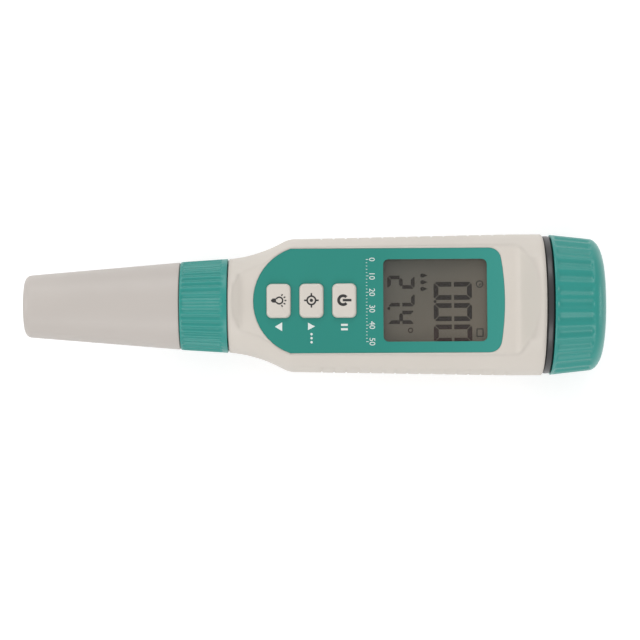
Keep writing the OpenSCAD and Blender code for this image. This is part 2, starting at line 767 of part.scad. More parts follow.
// The rim, then a column of convex lobes up to the closed end
module cap_lobes() {
    rod(cap_x0, cap_x0 + 0.6, battery_cap_r + 1);
    along(cap_x0 + 0.5, pen_l + 1) {
        circle(r = lobe_root_r);
        for (i = [0:lobe_count - 1]) rotate(360 * (i + 0.5) / lobe_count)
            translate([battery_cap_r + 0.05 - lobe_r, 0]) circle(r = lobe_r, $fn = 48);
    }
}

module battery_cap() color([0.24, 0.6, 0.56]) place() difference() {
    union() {
        intersection() {
            cap_envelope();
            cap_lobes();
        }
        rod(seal_x1, cap_x0 + 1, rim_r);
    }
    turned([
        [seal_x1 - 1, 0], [seal_x1 - 1, cap_bore_r], [ceiling_x - ceiling_slope, cap_bore_r],
        [ceiling_x, cap_bore_r - ceiling_step], [ceiling_x, boss2_r],
        [carrier_x1 + 0.1, boss2_r], [carrier_x1 + 0.1, 0]
    ]);
    rod(carrier_x1 - 1, min(ceiling_x + 0.8, pen_l - 0.6), pivot_r + face_gap);
}

module seal_ring() color([0.15, 0.15, 0.16]) place() {
    r = seal_r;
    c = seal_round;
    turned(concat(
        [[seal_x0, neck2_r + slide_gap], [seal_x0, r - c]],
        [for (i = [1:5]) let (a = 180 - 15 * i) [seal_x0 + c + c * cos(a), r - c + c * sin(a)]],
        [for (i = [0:5]) let (a = 90 - 15 * i) [seal_x1 - c + c * cos(a), r - c + c * sin(a)]],
        [[seal_x1, r - c], [seal_x1, neck2_r + slide_gap]]
    ));
}

module at_pins() {
    for (i = [0:3]) rotate([45 + 90 * i, 0, 0]) translate([0, 0, pin_circle]) children();
}

module socket_block() color([0.2, 0.2, 0.22]) place() difference() {
    union() {
        rod(socket_x0, cavity_x0 + 0.5, plug_bore_r - seat_gap);
        intersection() {
            rod(cavity_x0, cavity_x0 + socket_disc_t, outer_r(cavity_x0) - wall - seat_gap);
            translate([cavity_x0 - 1, -20, -30]) cube([10, 40, 30 + front_h - wall - seat_gap]);
        }
    }
    at_pins() rod(socket_x0 - 1, cavity_x0 + socket_disc_t + 1, sleeve_r + face_gap);
}

module socket_sleeves() color([0.8, 0.7, 0.4]) place() at_pins() difference() {
    rod(socket_x0 + 0.2, cavity_x0 + socket_disc_t + 1, sleeve_r);
    rod(socket_x0 - 1, cavity_x0 + socket_disc_t - 0.5, sleeve_bore_r);
}

module socket_leads() color([0.6, 0.6, 0.2]) place() {
    z = pin_circle * sin(45);
    x = cavity_x0 + socket_disc_t + 1;
    for (y = [-z, z]) {
        wire(x, x + 4, y, z, pcb_under(x + 4) - face_gap, thin_lead_r);
        wire(x, x + 7, y, -z, pcb_under(x + 7) - face_gap, thin_lead_r);
    }
}

module at_cell_pins() {
    for (side = [-1, 1]) translate([0, side * pin_offset, 0]) children();
}

module electrode_body() color([0.25, 0.25, 0.27]) place() difference() {
    union() {
        turned([
            [guard_x1 - 3, 0], [guard_x1 - 3, spigot_r], [guard_x1, spigot_r], [guard_x1, guard_root_r],
            [land_x0 - 0.4, inner_r(land_x0) - 0.5], [land_x0 + 0.4, land_r],
            [cap_ring_x - 1, land_r], [cap_ring_x - 1, land_r - groove_depth],
            [cap_ring_x + 1, land_r - groove_depth], [cap_ring_x + 1, land_r],
            [flange_x0, land_r], [flange_x0, flange_r], [flange_x1, flange_r], [flange_x1, plug_r],
            [plug_ring_x - 1, plug_r], [plug_ring_x - 1, plug_r - groove_depth],
            [plug_ring_x + 1, plug_r - groove_depth], [plug_ring_x + 1, plug_r],
            [plug_x1 - 0.4, plug_r], [plug_x1, plug_r - 0.4], [plug_x1, 0]
        ]);
        translate([plug_ring_x + 2, -key_rib_w / 2, plug_r - 1])
            cube([plug_x1 - plug_ring_x - 2.4, key_rib_w, key_rib_h + 1]);
    }
    at_cell_pins() rod(guard_x1 - 4, guard_x1 + pin_root + 0.5, pin_r + face_gap);
    translate([0, 0, -probe_drop]) rod(guard_x1 - 4, guard_x1 + pin_root + 0.5, probe_r + face_gap);
    at_pins() rod(plug_x1 - plug_pin_root - 0.5, plug_x1 + 1, plug_pin_r + face_gap);
}

module electrode_guard() color([0.2, 0.2, 0.22]) place() difference() {
    turned([
        [guard_start + 0.5, 0], [guard_start, 1], [guard_start, guard_r - 0.5],
        [guard_start + 0.5, guard_r], [guard_x1 - face_gap, guard_root_r], [guard_x1 - face_gap, 0]
    ]);
    rod(guard_start - 1, guard_x1 + 1, guard_r - guard_wall);
    for (turn = [0, 180]) rotate([turn, 0, 0]) {
        translate([slot_x0, -slot_r, 0]) cube([slot_x1 - slot_x0, 2 * slot_r, 2 * guard_r]);
        for (x = [slot_x0, slot_x1]) translate([x, 0, 0]) cylinder(h = 2 * guard_r, r = slot_r, $fn = 48);
    }
}

module cell_pins() color([0.8, 0.8, 0.82]) place() at_cell_pins() {
    rod(pin_x0, guard_x1 + pin_root, pin_r);
    translate([pin_x0, 0, 0]) sphere(r = pin_r);
}

module temperature_probe() color([0.8, 0.8, 0.82]) place() translate([0, 0, -probe_drop]) {
    rod(slot_x0, guard_x1 + pin_root, probe_r);
    translate([slot_x0, 0, 0]) sphere(r = probe_r);
}

module plug_pins() color([0.8, 0.7, 0.4]) place() at_pins() {
    rod(plug_x1 - plug_pin_root, cavity_x0 - 0.9, plug_pin_r);
    translate([cavity_x0 - 0.9, 0, 0]) sphere(r = plug_pin_r);
}

// A rubber ring of round section
module o_ring(x, r) {
    turned([for (i = [0:15]) let (a = 22.5 * i) [x + o_ring_r * cos(a), r - o_ring_r + o_ring_r * sin(a)]]);
}

module socket_o_ring() color([0.12, 0.12, 0.12]) place() o_ring(plug_ring_x, plug_bore_r - ring_pinch);

module cap_o_ring() color([0.12, 0.12, 0.12]) place() o_ring(cap_ring_x, mouth_r - ring_pinch);

module collar() color([0.23, 0.55, 0.52]) place() difference() {
    rim = 1.6;
    slant = atan2(collar_r1 - collar_r0, collar_l);
    turned([
        [collar_x0, 0], [collar_x0, collar_r0 - 0.4], [collar_x0 + 0.4, collar_r0],
        [collar_x1 - rim, collar_r1 - 0.1], [collar_x1 - rim + 0.1, collar_r1 + 0.05],
        [collar_x1 - 0.3, collar_r1 + 0.05], [collar_x1, collar_r1 - 0.25], [collar_x1, 0]
    ]);
    rod(collar_x0 - 1, collar_x1 + 1, mouth_r);
    rod(collar_x0 + lip_t, collar_x1 + 1, collar_bore_r);
    for (i = [0:rib_count - 1]) rotate([360 * i / rib_count, 0, 0])
        translate([collar_x0 + 0.8, 0, collar_r0 + rib_groove_r - rib_depth]) rotate([0, 90 - slant, 0])
        cylinder(h = collar_l - rim - 0.9, r = rib_groove_r, $fn = 16);
}

module sensor_cap() color([0.83, 0.81, 0.78]) place() difference() {
    l = sensor_cap_l;
    crown = 0.3;
    tip_round = 2;
    foot = sensor_r(tip_round) - tip_round;
    turned(concat(
        [[0, 0], [0, 4], [crown, foot]],
        [for (i = [1:6]) let (a = 180 - 15 * i)
            [tip_round + crown + tip_round * cos(a), foot + tip_round * sin(a)]],
        [[l - edge, sensor_r(l)], [l, sensor_r(l) - edge], [l, 0]]
    ));
    turned([
        [tip_wall, 0], [tip_wall, inner_r(tip_wall) - 1], [tip_wall + 1, inner_r(tip_wall + 1)],
        [land_x0 - 1, inner_r(land_x0 - 1)], [land_x0 - 0.4, mouth_r], [l + 1, mouth_r], [l + 1, 0]
    ]);
}

housing();
front_plate();
front_overlay();
display_window();
lcd_glass();
lcd_frame();
backlight_panel();
zebra_strips();
main_pcb();
pcb_screws();
tact_switches();
circuit_chips();
light_key();
cal_key();
power_key();
battery_cradle();
battery_cells();
battery_springs();
battery_terminals();
battery_leads();
contact_carrier();
contact_strips();
carrier_screw();
battery_cap();
seal_ring();
socket_block();
socket_sleeves();
socket_leads();
electrode_body();
electrode_guard();
cell_pins();
temperature_probe();
plug_pins();
socket_o_ring();
cap_o_ring();
collar();
sensor_cap();
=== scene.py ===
import json
from math import atan2, cos, pi, radians, sin

import bmesh
import bpy
from bpy.props import FloatProperty, FloatVectorProperty, PointerProperty
from mathutils import Matrix, Vector


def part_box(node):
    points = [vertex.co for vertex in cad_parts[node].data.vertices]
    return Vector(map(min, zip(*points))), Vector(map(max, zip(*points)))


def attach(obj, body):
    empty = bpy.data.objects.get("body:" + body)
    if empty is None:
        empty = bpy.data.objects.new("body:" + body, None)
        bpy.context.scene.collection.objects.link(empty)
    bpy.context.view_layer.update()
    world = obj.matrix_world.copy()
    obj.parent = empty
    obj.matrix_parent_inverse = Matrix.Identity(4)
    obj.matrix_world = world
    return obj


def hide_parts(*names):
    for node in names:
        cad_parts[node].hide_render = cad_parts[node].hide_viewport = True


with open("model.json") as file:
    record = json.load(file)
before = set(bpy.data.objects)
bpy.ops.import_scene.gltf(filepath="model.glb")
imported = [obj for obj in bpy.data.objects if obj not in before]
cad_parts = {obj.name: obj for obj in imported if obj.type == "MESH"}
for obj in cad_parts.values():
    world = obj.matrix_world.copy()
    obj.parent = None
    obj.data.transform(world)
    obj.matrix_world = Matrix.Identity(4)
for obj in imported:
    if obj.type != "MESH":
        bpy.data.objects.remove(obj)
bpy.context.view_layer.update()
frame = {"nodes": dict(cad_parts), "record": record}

bl_info = {
    "name": "Pen salinity meter",
    "version": (1, 0, 0),
    "blender": (4, 5, 0),
    "location": "3D View > Sidebar > Pen meter",
    "description": "Dresses a pen-type salinity meter with its plastics, print, display and threads",
    "category": "Object",
}

RECORD = frame["record"]
BODY_OF = {node: body for body, nodes in RECORD["behaviour"]["bodies"].items() for node in nodes}
SLOT_OF = {row["node"]: row["material_slot"] for row in RECORD["subparts"]}

# Lengths below are in millimetres along the pen from its tip, and across it from its axis
MM = 0.001
TIP_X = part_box("sensor_cap")[0].x
CAP_LOW, CAP_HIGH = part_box("battery_cap")
AXIS_Z = (CAP_LOW.z + CAP_HIGH.z) / 2
PEN = Matrix.Translation((TIP_X, 0, AXIS_Z)) @ Matrix.Diagonal((MM, MM, MM, 1))

# The flat front: its low end, its height above the axis there, and its tilt
FLAT_START = 65.0
FLAT_HEIGHT = 12.0
FLAT_TILT = radians(-0.99)
FRONT = (
    PEN
    @ Matrix.Translation((FLAT_START, 0, FLAT_HEIGHT))
    @ Matrix.Rotation(FLAT_TILT, 4, "Y")
    @ Matrix.Translation((-FLAT_START, 0, 0))
)

# Collar: its ends, the outside at each end, the bore, the lip round the electrode, the ribs, the
# plain nose and rim beside them, and the round of its edges
COLLAR_START, COLLAR_END = 47.0, 61.1
COLLAR_SMALL, COLLAR_LARGE = 13.2, 14.1
COLLAR_BORE = 12.4
COLLAR_LIP, COLLAR_LIP_T = 11.5, 2.2
COLLAR_RIBS, COLLAR_RIB_DEPTH = 44, 0.42
COLLAR_NOSE, COLLAR_RIM = 0.5, 1.4
COLLAR_ROUND = 0.3

# Battery cap: its ends, the rim, the shoulder, the flat end and the inside
CAP_START, CAP_END = 157.4, 173.0
CAP_RIM, CAP_RIM_ROUND = 21.0, 0.2
CAP_SHOULDER_X, CAP_SHOULDER = 168.9, 19.75
CAP_FLAT = 12.25
CAP_BORE, CAP_BORE_END = 18.9, 165.8
CAP_CEILING, CAP_CEILING_X = 15.7, 170.8
CAP_PILLAR, CAP_PILLAR_X = 3.4, 166.75
CAP_PILOT, CAP_PILOT_END = 1.25, 171.6

# The cap's grip: its lobes, how far from the rim they start and past the shoulder they end, and the
# angle on the shoulder's ellipse at which the round of the end takes over
CAP_LOBES, CAP_LOBE_DEPTH = 30, 0.6
CAP_LOBE_START, CAP_LOBE_END = 0.6, 0.1
CAP_END_ANGLE, CAP_END_STEPS = 84, 12

# Turned mouldings: points in one flute, the length and steps of its run-out, and an edge's steps
FLUTE_POINTS = 12
FLUTE_RUN_OUT, FLUTE_STEPS = 1.0, 4
ROUND_STEPS = 4

# Threads: start, turns and width at the base, and the root and crest of the ridge on each side
CAP_THREAD_START, CAP_THREAD_TURNS, CAP_THREAD_BASE = 158.1, 1.3, 1.2
NECK_RIDGE, CAP_RIDGE = (18.15, 18.45), (18.95, 18.28)
COLLAR_THREAD_START, COLLAR_THREAD_TURNS, COLLAR_THREAD_BASE = 52.4, 3.2, 0.8
STUB_RIDGE, COLLAR_RIDGE = (11.65, 12.2), (12.45, 11.9)
THREAD_TOP = 0.45
THREAD_STEPS = 72

# Seal ring: its faces, its bore, its outside and the round of its edges
SEAL_START, SEAL_END = 154.95, 157.3
SEAL_BORE, SEAL_OUTSIDE = 18.5, 20.6
SEAL_ROUND, SEAL_ROUND_STEPS = 0.8, 8

# Keys, as heights above the label: places, size, top and bottom, flange, skirt, draft and crown
KEY_PLACES = {"light_key": 76.4, "cal_key": 86.1, "power_key": 95.8}
KEY_LENGTH, KEY_WIDTH = 7.0, 10.0
KEY_CORNER, KEY_CORNER_STEPS = 1.5, 10
KEY_TOP, KEY_BOTTOM = 1.1, -2.6
KEY_FLANGE, KEY_FLANGE_T = 0.8, 0.5
KEY_SKIRT, KEY_SKIRT_TOP = 0.1, 0.05
KEY_DRAFT = 0.15
KEY_EDGE_STEPS = 5
KEY_CROWN, KEY_CROWN_IN = 0.05, 1.0

# Label film: its thickness, the room of its holes round the keys, and the gap its edge leaves there
FILM_T = 0.3
FILM_HOLE = 0.35
FILM_EDGE_GAP = 0.05
FILM_OVERLAP = 0.05

# Ink: its thickness, the crystal's face, how far a key's ink reaches into the crown and out of it,
# and the layers of ink, each from its lowest to its highest level above the label
INK_T = 0.03
CRYSTAL_TOP = -2.1
KEY_INK_IN, KEY_INK_OUT = 0.06, 0.012
LABEL_INK = (-INK_T / 3, INK_T * 2 / 3)
KEY_INK = (KEY_TOP - KEY_INK_IN, KEY_TOP + KEY_INK_OUT)
CRYSTAL_INK = (CRYSTAL_TOP - INK_T / 3, CRYSTAL_TOP + INK_T * 2 / 3)

# Signs beside the keys: two triangles from their key's middle, three dots, and two bars for a pause
DOWN_SIGN = ((-1.1, -7.65), (1.05, -8.98), (1.05, -6.32))
UP_SIGN = ((1.05, -7.6), (-1.05, -6.5), (-1.05, -8.7))
DOTS_Y, DOT_RADIUS = (-9.9, -11.1, -12.3), 0.36
PAUSE_Y, PAUSE_HALF, PAUSE_LINE = (-7.2, -8.5), 1.0, 0.62

# Scale on the label: foot, half width, steps, its top, the ticks, and a figure's share of its font
SCALE_FOOT, SCALE_HALF = 102.2, 12.2
SCALE_STEPS, NUMERAL_STEPS = 25, 5
SCALE_TOP = 50
LONG_TICK, SHORT_TICK, TICK_LINE = 0.75, 0.4, 0.16
NUMERAL_GAP = 1.0
FONT_FIGURE = 0.73

# Steps of a ring, and sides of a disc and of the target's point
ARC_STEPS = 40
DISC_SIDES, POINT_SIDES = 24, 32

# Lamp sign, from its key's middle: the bulb, the bars of its base as place and half width, the rays
BULB_X, BULB_RADIUS, BULB_LINE = 0.25, 0.98, 0.46
BULB_START, BULB_SWEEP = radians(205), radians(310)
LAMP_BASE = ((-0.9, 0.62), (-1.3, 0.62), (-1.7, 0.58), (-2.0, 0.3))
LAMP_RAYS = (-64, -32, 0, 32, 64)
LAMP_RAY = (1.5, 2.1)
LAMP_LINE = 0.4

# Target sign: the ring, the centre point and the hairs
TARGET_RADIUS, TARGET_LINE = 1.25, 0.5
TARGET_POINT = 0.5
TARGET_HAIRS = (0, 90, 180, 270)
TARGET_HAIR, TARGET_HAIR_LINE = (1.45, 2.15), 0.48

# Standby sign: the open ring, and the bar in its gap
STANDBY_X, STANDBY_RADIUS, STANDBY_LINE = -0.35, 1.32, 0.84
STANDBY_START, STANDBY_SWEEP = radians(42), radians(276)
STANDBY_BAR, STANDBY_BAR_LINE = (-0.45, 2.1), 0.74

# Rows of figures: each figure with its left end, the foot, and a figure's width and bar
LARGE_ROW = (("0", 5.65), ("0", -0.68), ("0", -7.05))
LARGE_FOOT, LARGE_WIDTH, LARGE_BAR = 122.2, 5.35, 1.42
SMALL_ROW = (("2", 7.6), ("7", 2.35), ("4", -2.85))
SMALL_FOOT, SMALL_WIDTH, SMALL_BAR = 108.5, 3.95, 1.1
BAR_GAP, BAR_CUT, BAR_SHORT = 0.13, 0.22, 0.38

# Small marks on the display: decimal points, degree ring, drops, clock and cell
POINT_RADIUS = 0.45
LARGE_POINT, SMALL_POINT = (122.62, -0.19), (108.95, -2.2)
DEGREE, DEGREE_RADIUS, DEGREE_LINE = (115.3, -8.7), 0.62, 0.34
DROP_X, DROP_RADIUS = 118.9, 0.62
DROP_SIDE_X, DROP_SIDE, DROP_TIP_X = 119.15, 0.56, 120.5
DROPS_Y = (7.6, 5.6, 3.6)
MARK_LINE = 0.36
CLOCK_X, CLOCK_Y, CLOCK_RADIUS = 135.8, 4.95, 0.95
CLOCK_HANDS = ((0.6, 0), (0, -0.5))
CELL_X, CELL_Y, CELL_LAP = (134.9, 136.7), (-8.4, -10.6), 0.1

# Finishes: what noise mostly lies between, and where the display's and the jacket's colours change
NOISE_LOW, NOISE_HIGH = 0.3, 0.7
CRYSTAL_WARM_SHARE = 0.6
FIGURE_COOL_Y, FIGURE_WARM_Y = -6, -11.5
JACKET_BAND, JACKET_BAND_FULL = 13, 12.8

# Points this close are merged, and faces this flat, in degrees, are joined
COPY_WELD, PRINT_WELD = 0.0005, 0.001
COPY_FLAT = 0.05

# The stage, in metres and watts: each soft box's place, size and power, and the surroundings' light
SOFT_BOXES = {
    "front_box": ((0.03, -0.61, 0.41), (0.6, 0.4), 2.1),
    "back_box": ((-0.03, 0.61, 0.41), (0.6, 0.4), 2.1),
    "tip_box": ((-0.66, 0, 0.36), (0.3, 0.3), 1.1),
    "end_box": ((0.6, 0, 0.08), (0.3, 0.08), 0.45),
}
SKY_LIGHT = 0.58
WHITE = (1, 1, 1, 1)

# The floor: half its side, its grey, and its glow near the pen and far from it
FLOOR_HALF = 6
FLOOR_GREY = (0.6, 0.6, 0.6, 1)
GLOW_NEAR, GLOW_FAR = 0.55, 0.8
GLOW_START, GLOW_END = 0.25, 0.6

# The camera that took the view: a long lens almost straight above the pen
CAMERA_LENS = 135
CAMERA_SENSOR = 36
CAMERA_CLIP = 0.05
CAMERA_RANGE = 0.720
CAMERA_ELEVATION = radians(83.7)
CAMERA_ROLL = radians(-0.2)
CAMERA_AIM = (2.1 * MM, -4.35 * MM)


def srgb(red, green, blue):
    """A colour given as it shows on screen, from 0 to 255, as the linear values that Blender keeps."""

    def linear(value):
        value /= 255
        return value / 12.92 if value <= 0.04045 else ((value + 0.055) / 1.055) ** 2.4

    return linear(red), linear(green), linear(blue)


def colour_property(name, description, default):
    return FloatVectorProperty(
        name=name, description=description, subtype="COLOR", size=3, min=0, max=1, default=default
    )


def length_property(name, description, default, low, high):
    """A length property, with its default and range given in millimetres."""
    return FloatProperty(
        name=name, description=description, unit="LENGTH",
        default=default * MM, min=low * MM, max=high * MM,
    )


class PenColours(bpy.types.PropertyGroup):
    """Colours of the meter's finishes."""

    shell: colour_property("Shell", "Housing and keys", srgb(209, 202, 193))
    sensor_cap: colour_property("Sensor cap", "Cap over the electrode", srgb(190, 183, 177))
    teal: colour_property("Teal mouldings", "Collar and battery cap", srgb(26, 138, 129))
    label: colour_property("Label", "Printed film on the front", srgb(18, 127, 115))
    # Painted light: a lighter teal for the label's half towards the battery end
    label_end: colour_property("Label, wide end", "Where the film is a little lighter", srgb(40, 139, 129))
    light_ink: colour_property("Light ink", "Print on the label", srgb(218, 224, 221))
    dark_ink: colour_property("Dark ink", "Print on the keys", srgb(28, 26, 26))
    rubber: colour_property("Seals", "Seal ring and rubber rings", srgb(35, 34, 36))
    crystal: colour_property("Display", "Display where it is olive", srgb(82, 82, 75))
    crystal_warm: colour_property("Display, warm side", "Display where it is brown", srgb(112, 103, 89))
    segment: colour_property("Segments", "Figures on the display", srgb(32, 24, 22))
    segment_warm: colour_property("Segments, warm side", "Figures at the window's edge", srgb(56, 34, 31))


class PenSizes(bpy.types.PropertyGroup):
    """Sizes of the details that the dressing adds."""

    key_round: length_property("Key edge", "Round along a key's top edge", 0.5, 0.1, 0.6)
    edge_soft: length_property("Soft edge", "Round that moulded edges seem to have", 0.9, 0, 2)
    shell_soft: length_property("Soft shell edge", "The same on the housing", 2.4, 0, 3)
    grain: length_property("Grain", "Size of the moulded grain", 0.12, 0.05, 1)
    numeral: length_property("Numerals", "Height of the scale's numerals", 1.75, 1, 2)
    big_digit: length_property("Large figures", "Height of the large figures", 11.3, 8, 12)
    small_digit: length_property("Small figures", "Height of the small figures", 8.1, 5, 9)
    lead: length_property("Cap thread lead", "Rise of the battery cap in one turn", 3, 1, 5)
    collar_lead: length_property("Collar thread lead", "Draw of the collar in one turn", 2, 1, 4)


def colours():
    return bpy.context.scene.pen_colours


def sizes():
    return bpy.context.scene.pen_sizes


# Shader nodes. A tree is the node tree of a material, of the world or of a group


def feed(tree, value, socket):
    """Gives a socket its value: another socket, which is linked to it, or a plain value."""
    if isinstance(value, bpy.types.NodeSocket):
        tree.links.new(value, socket)
    else:
        socket.default_value = value


def add_math(tree, operation, *values):
    """The result of a Math node on sockets or numbers."""
    node = tree.nodes.new("ShaderNodeMath")
    node.operation = operation
    for value, socket in zip(values, node.inputs):
        feed(tree, value, socket)
    return node.outputs[0]


def add_range(tree, value, start, end, low=0, high=1):
    """Maps start to end onto low to high, each a socket or a number."""
    node = tree.nodes.new("ShaderNodeMapRange")
    given = {"Value": value, "From Min": start, "From Max": end, "To Min": low, "To Max": high}
    for name, part in given.items():
        feed(tree, part, node.inputs[name])
    return node.outputs["Result"]


def object_place(tree):
    """The Object coordinates."""
    return tree.nodes.new("ShaderNodeTexCoord").outputs["Object"]


def along_pen(tree, start, end, axis="X"):
    """From 0 to 1 between two places, in metres, on one axis of the Object coordinates."""
    split = tree.nodes.new("ShaderNodeSeparateXYZ")
    tree.links.new(object_place(tree), split.inputs["Vector"])
    return add_range(tree, split.outputs[axis], start, end)


def blend_colours(tree, factor, first, second):
    """Two colours mixed by a factor that varies over the surface."""
    mix = tree.nodes.new("ShaderNodeMix")
    mix.data_type = "RGBA"
    tree.links.new(factor, mix.inputs["Factor"])
    mix.inputs["A"].default_value = (*first, 1)
    mix.inputs["B"].default_value = (*second, 1)
    return mix.outputs["Result"]


def add_noise(tree, place, scale, detail):
    """A noise texture, with its scale from a socket or a number."""
    noise = tree.nodes.new("ShaderNodeTexNoise")
    noise.inputs["Detail"].default_value = detail
    tree.links.new(place, noise.inputs["Vector"])
    feed(tree, scale, noise.inputs["Scale"])
    return noise.outputs[0]


def spread_noise(tree, noise, low, high):
    """Noise spread onto low to high, each a socket or a number."""
    return add_range(tree, noise, NOISE_LOW, NOISE_HIGH, low, high)


# Node groups shared by the finishes


def new_group(name, inputs):
    """A group for a surface, with float inputs that have defaults, and its two end nodes."""
    group = bpy.data.node_groups.new(name, "ShaderNodeTree")
    for label, value in inputs.items():
        socket = group.interface.new_socket(label, in_out="INPUT", socket_type="NodeSocketFloat")
        socket.default_value = value
    for label in ("Shade", "Roughness", "Height"):
        group.interface.new_socket(label, in_out="OUTPUT", socket_type="NodeSocketFloat")
    start = group.nodes.new("NodeGroupInput").outputs
    end = group.nodes.new("NodeGroupOutput").inputs
    return group, start, end


def moulded_skin():
    """Spark-eroded grain, a slow drift of tone and patches of finer polish."""
    defaults = {"Grain": 8000, "Dark": 0.975, "Light": 1.02, "Smooth": 0.4, "Rough": 0.5}
    group, start, end = new_group("moulded_skin", defaults)
    place = object_place(group)
    drift = add_noise(group, place, scale=32, detail=2)
    patches = add_noise(group, place, scale=240, detail=3)
    grain = add_noise(group, place, scale=start["Grain"], detail=1)
    group.links.new(spread_noise(group, drift, start["Dark"], start["Light"]), end["Shade"])
    group.links.new(spread_noise(group, patches, start["Smooth"], start["Rough"]), end["Roughness"])
    group.links.new(grain, end["Height"])
    return group


def drawn_metal():
    """Fine lines along the pen, as drawing and turning leave them."""
    group, start, end = new_group("drawn_metal", {"Lines": 9000, "Smooth": 0.18, "Rough": 0.34})
    stretch = group.nodes.new("ShaderNodeMapping")
    stretch.inputs["Scale"].default_value = (0.04, 1, 1)
    group.links.new(object_place(group), stretch.inputs["Vector"])
    lines = add_noise(group, stretch.outputs["Vector"], scale=start["Lines"], detail=2)
    group.links.new(spread_noise(group, lines, low=0.92, high=1.03), end["Shade"])
    group.links.new(spread_noise(group, lines, start["Smooth"], start["Rough"]), end["Roughness"])
    group.links.new(lines, end["Height"])
    return group


def place_group(tree, build, **values):
    """A shared group in a material, with its own values, built the first time. Returns its outputs."""
    node = tree.nodes.new("ShaderNodeGroup")
    node.node_tree = bpy.data.node_groups.get(build.__name__) or build()
    for label, value in values.items():
        node.inputs[label].default_value = value
    return node.outputs


def shader_inputs(tree):
    return tree.nodes["Principled BSDF"].inputs


def paint(tree, colour, surface):
    """Base colour times the surface's shade, and its roughness. The colour is three numbers or a socket."""
    tone = tree.nodes.new("ShaderNodeHueSaturation")
    if not isinstance(colour, bpy.types.NodeSocket):
        colour = (*colour, 1)
    feed(tree, colour, tone.inputs["Color"])
    tree.links.new(surface["Shade"], tone.inputs["Value"])
    tree.links.new(tone.outputs["Color"], shader_inputs(tree)["Base Color"])
    tree.links.new(surface["Roughness"], shader_inputs(tree)["Roughness"])


def add_relief(tree, height, depth, soft=0):
    """Relief of a depth in millimetres, over edges softened by a radius in metres."""
    bump = tree.nodes.new("ShaderNodeBump")
    bump.inputs["Distance"].default_value = depth * MM
    tree.links.new(height, bump.inputs["Height"])
    if soft > 0:
        edge = tree.nodes.new("ShaderNodeBevel")
        edge.samples = 6
        edge.inputs["Radius"].default_value = soft
        tree.links.new(edge.outputs["Normal"], bump.inputs["Normal"])
    tree.links.new(bump.outputs["Normal"], shader_inputs(tree)["Normal"])


def moulded(tree, colour, smooth, rough, depth=0, soft=0, drift=0.025):
    """A moulded or printed surface: its roughness from smooth to rough, and the depth of its grain."""
    surface = place_group(
        tree, moulded_skin, Grain=1 / sizes().grain, Dark=1 - drift, Light=1 + drift,
        Smooth=smooth, Rough=rough,
    )
    paint(tree, colour, surface)
    if depth > 0:
        add_relief(tree, surface["Height"], depth, soft)


def metal(tree, colour, smooth, rough):
    """A bright metal with fine lines along the pen."""
    surface = place_group(tree, drawn_metal, Smooth=smooth, Rough=rough)
    shader_inputs(tree)["Metallic"].default_value = 1
    paint(tree, colour, surface)
    add_relief(tree, surface["Height"], depth=0.004)


# One function for each finish


def shell_plastic(tree):
    moulded(tree, colours().shell, smooth=0.44, rough=0.52, depth=0.012, soft=sizes().shell_soft)


def pale_plastic(tree):
    moulded(tree, colours().sensor_cap, smooth=0.40, rough=0.48, depth=0.010, soft=sizes().edge_soft)


def key_plastic(tree):
    moulded(tree, colours().shell, smooth=0.40, rough=0.46, depth=0.008, soft=sizes().edge_soft / 2)


def teal_plastic(tree):
    moulded(tree, colours().teal, smooth=0.32, rough=0.38, depth=0.008, soft=sizes().edge_soft / 3)


def label_film(tree):
    """Teal film, with painted light that makes it a little lighter on its half towards the battery end."""
    low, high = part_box("front_overlay")
    # Painted light: blends to the lighter teal over the half towards the battery end
    painted_light_half = along_pen(tree, (low.x + high.x) / 2, high.x)
    tint = blend_colours(tree, painted_light_half, colours().label, colours().label_end)
    moulded(tree, tint, smooth=0.40, rough=0.46, depth=0.006)


def clear_window(tree):
    moulded(tree, (0.10, 0.10, 0.09), smooth=0.06, rough=0.10, depth=0.001)
    shader_inputs(tree)["Alpha"].default_value = 0.10


def display_glass(tree):
    """Olive, and browner towards the battery end and one side."""
    low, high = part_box("lcd_glass")
    run = along_pen(tree, low.x, high.x)
    side = add_math(tree, "MULTIPLY", along_pen(tree, high.y, low.y, "Y"), CRYSTAL_WARM_SHARE)
    warm = add_math(tree, "MULTIPLY_ADD", run, CRYSTAL_WARM_SHARE, side)
    tint = blend_colours(tree, warm, colours().crystal, colours().crystal_warm)
    moulded(tree, tint, smooth=0.3, rough=0.36, drift=0.015)


def display_segment(tree):
    """Dark figures that turn warmer at one side of the window."""
    warm = along_pen(tree, FIGURE_COOL_Y * MM, FIGURE_WARM_Y * MM, "Y")
    tint = blend_colours(tree, warm, colours().segment, colours().segment_warm)
    moulded(tree, tint, smooth=0.4, rough=0.5, drift=0.05)
    shader_inputs(tree)["Specular IOR Level"].default_value = 0.22


def faint_segment(tree):
    moulded(tree, srgb(38, 35, 29), smooth=0.4, rough=0.5)


def light_ink(tree):
    moulded(tree, colours().light_ink, smooth=0.45, rough=0.55, depth=0.004)


def dark_ink(tree):
    moulded(tree, colours().dark_ink, smooth=0.40, rough=0.50, depth=0.004)


def light_guide(tree):
    moulded(tree, srgb(236, 238, 234), smooth=0.2, rough=0.3, depth=0.002)


def dark_plastic(tree):
    moulded(tree, srgb(52, 52, 55), smooth=0.38, rough=0.48, depth=0.010)


def seal_rubber(tree):
    moulded(tree, colours().rubber, smooth=0.30, rough=0.38, depth=0.006)


def lead_cover(tree):
    moulded(tree, srgb(150, 34, 30), smooth=0.3, rough=0.4, depth=0.003)


def cell_jacket(tree):
    """A printed jacket: dark, with a brass-coloured band at one end."""
    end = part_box("battery_cells")[1].x
    band = along_pen(tree, end - JACKET_BAND * MM, end - JACKET_BAND_FULL * MM)
    tint = blend_colours(tree, band, srgb(44, 47, 58), srgb(176, 132, 74))
    moulded(tree, tint, smooth=0.24, rough=0.32, depth=0.002)


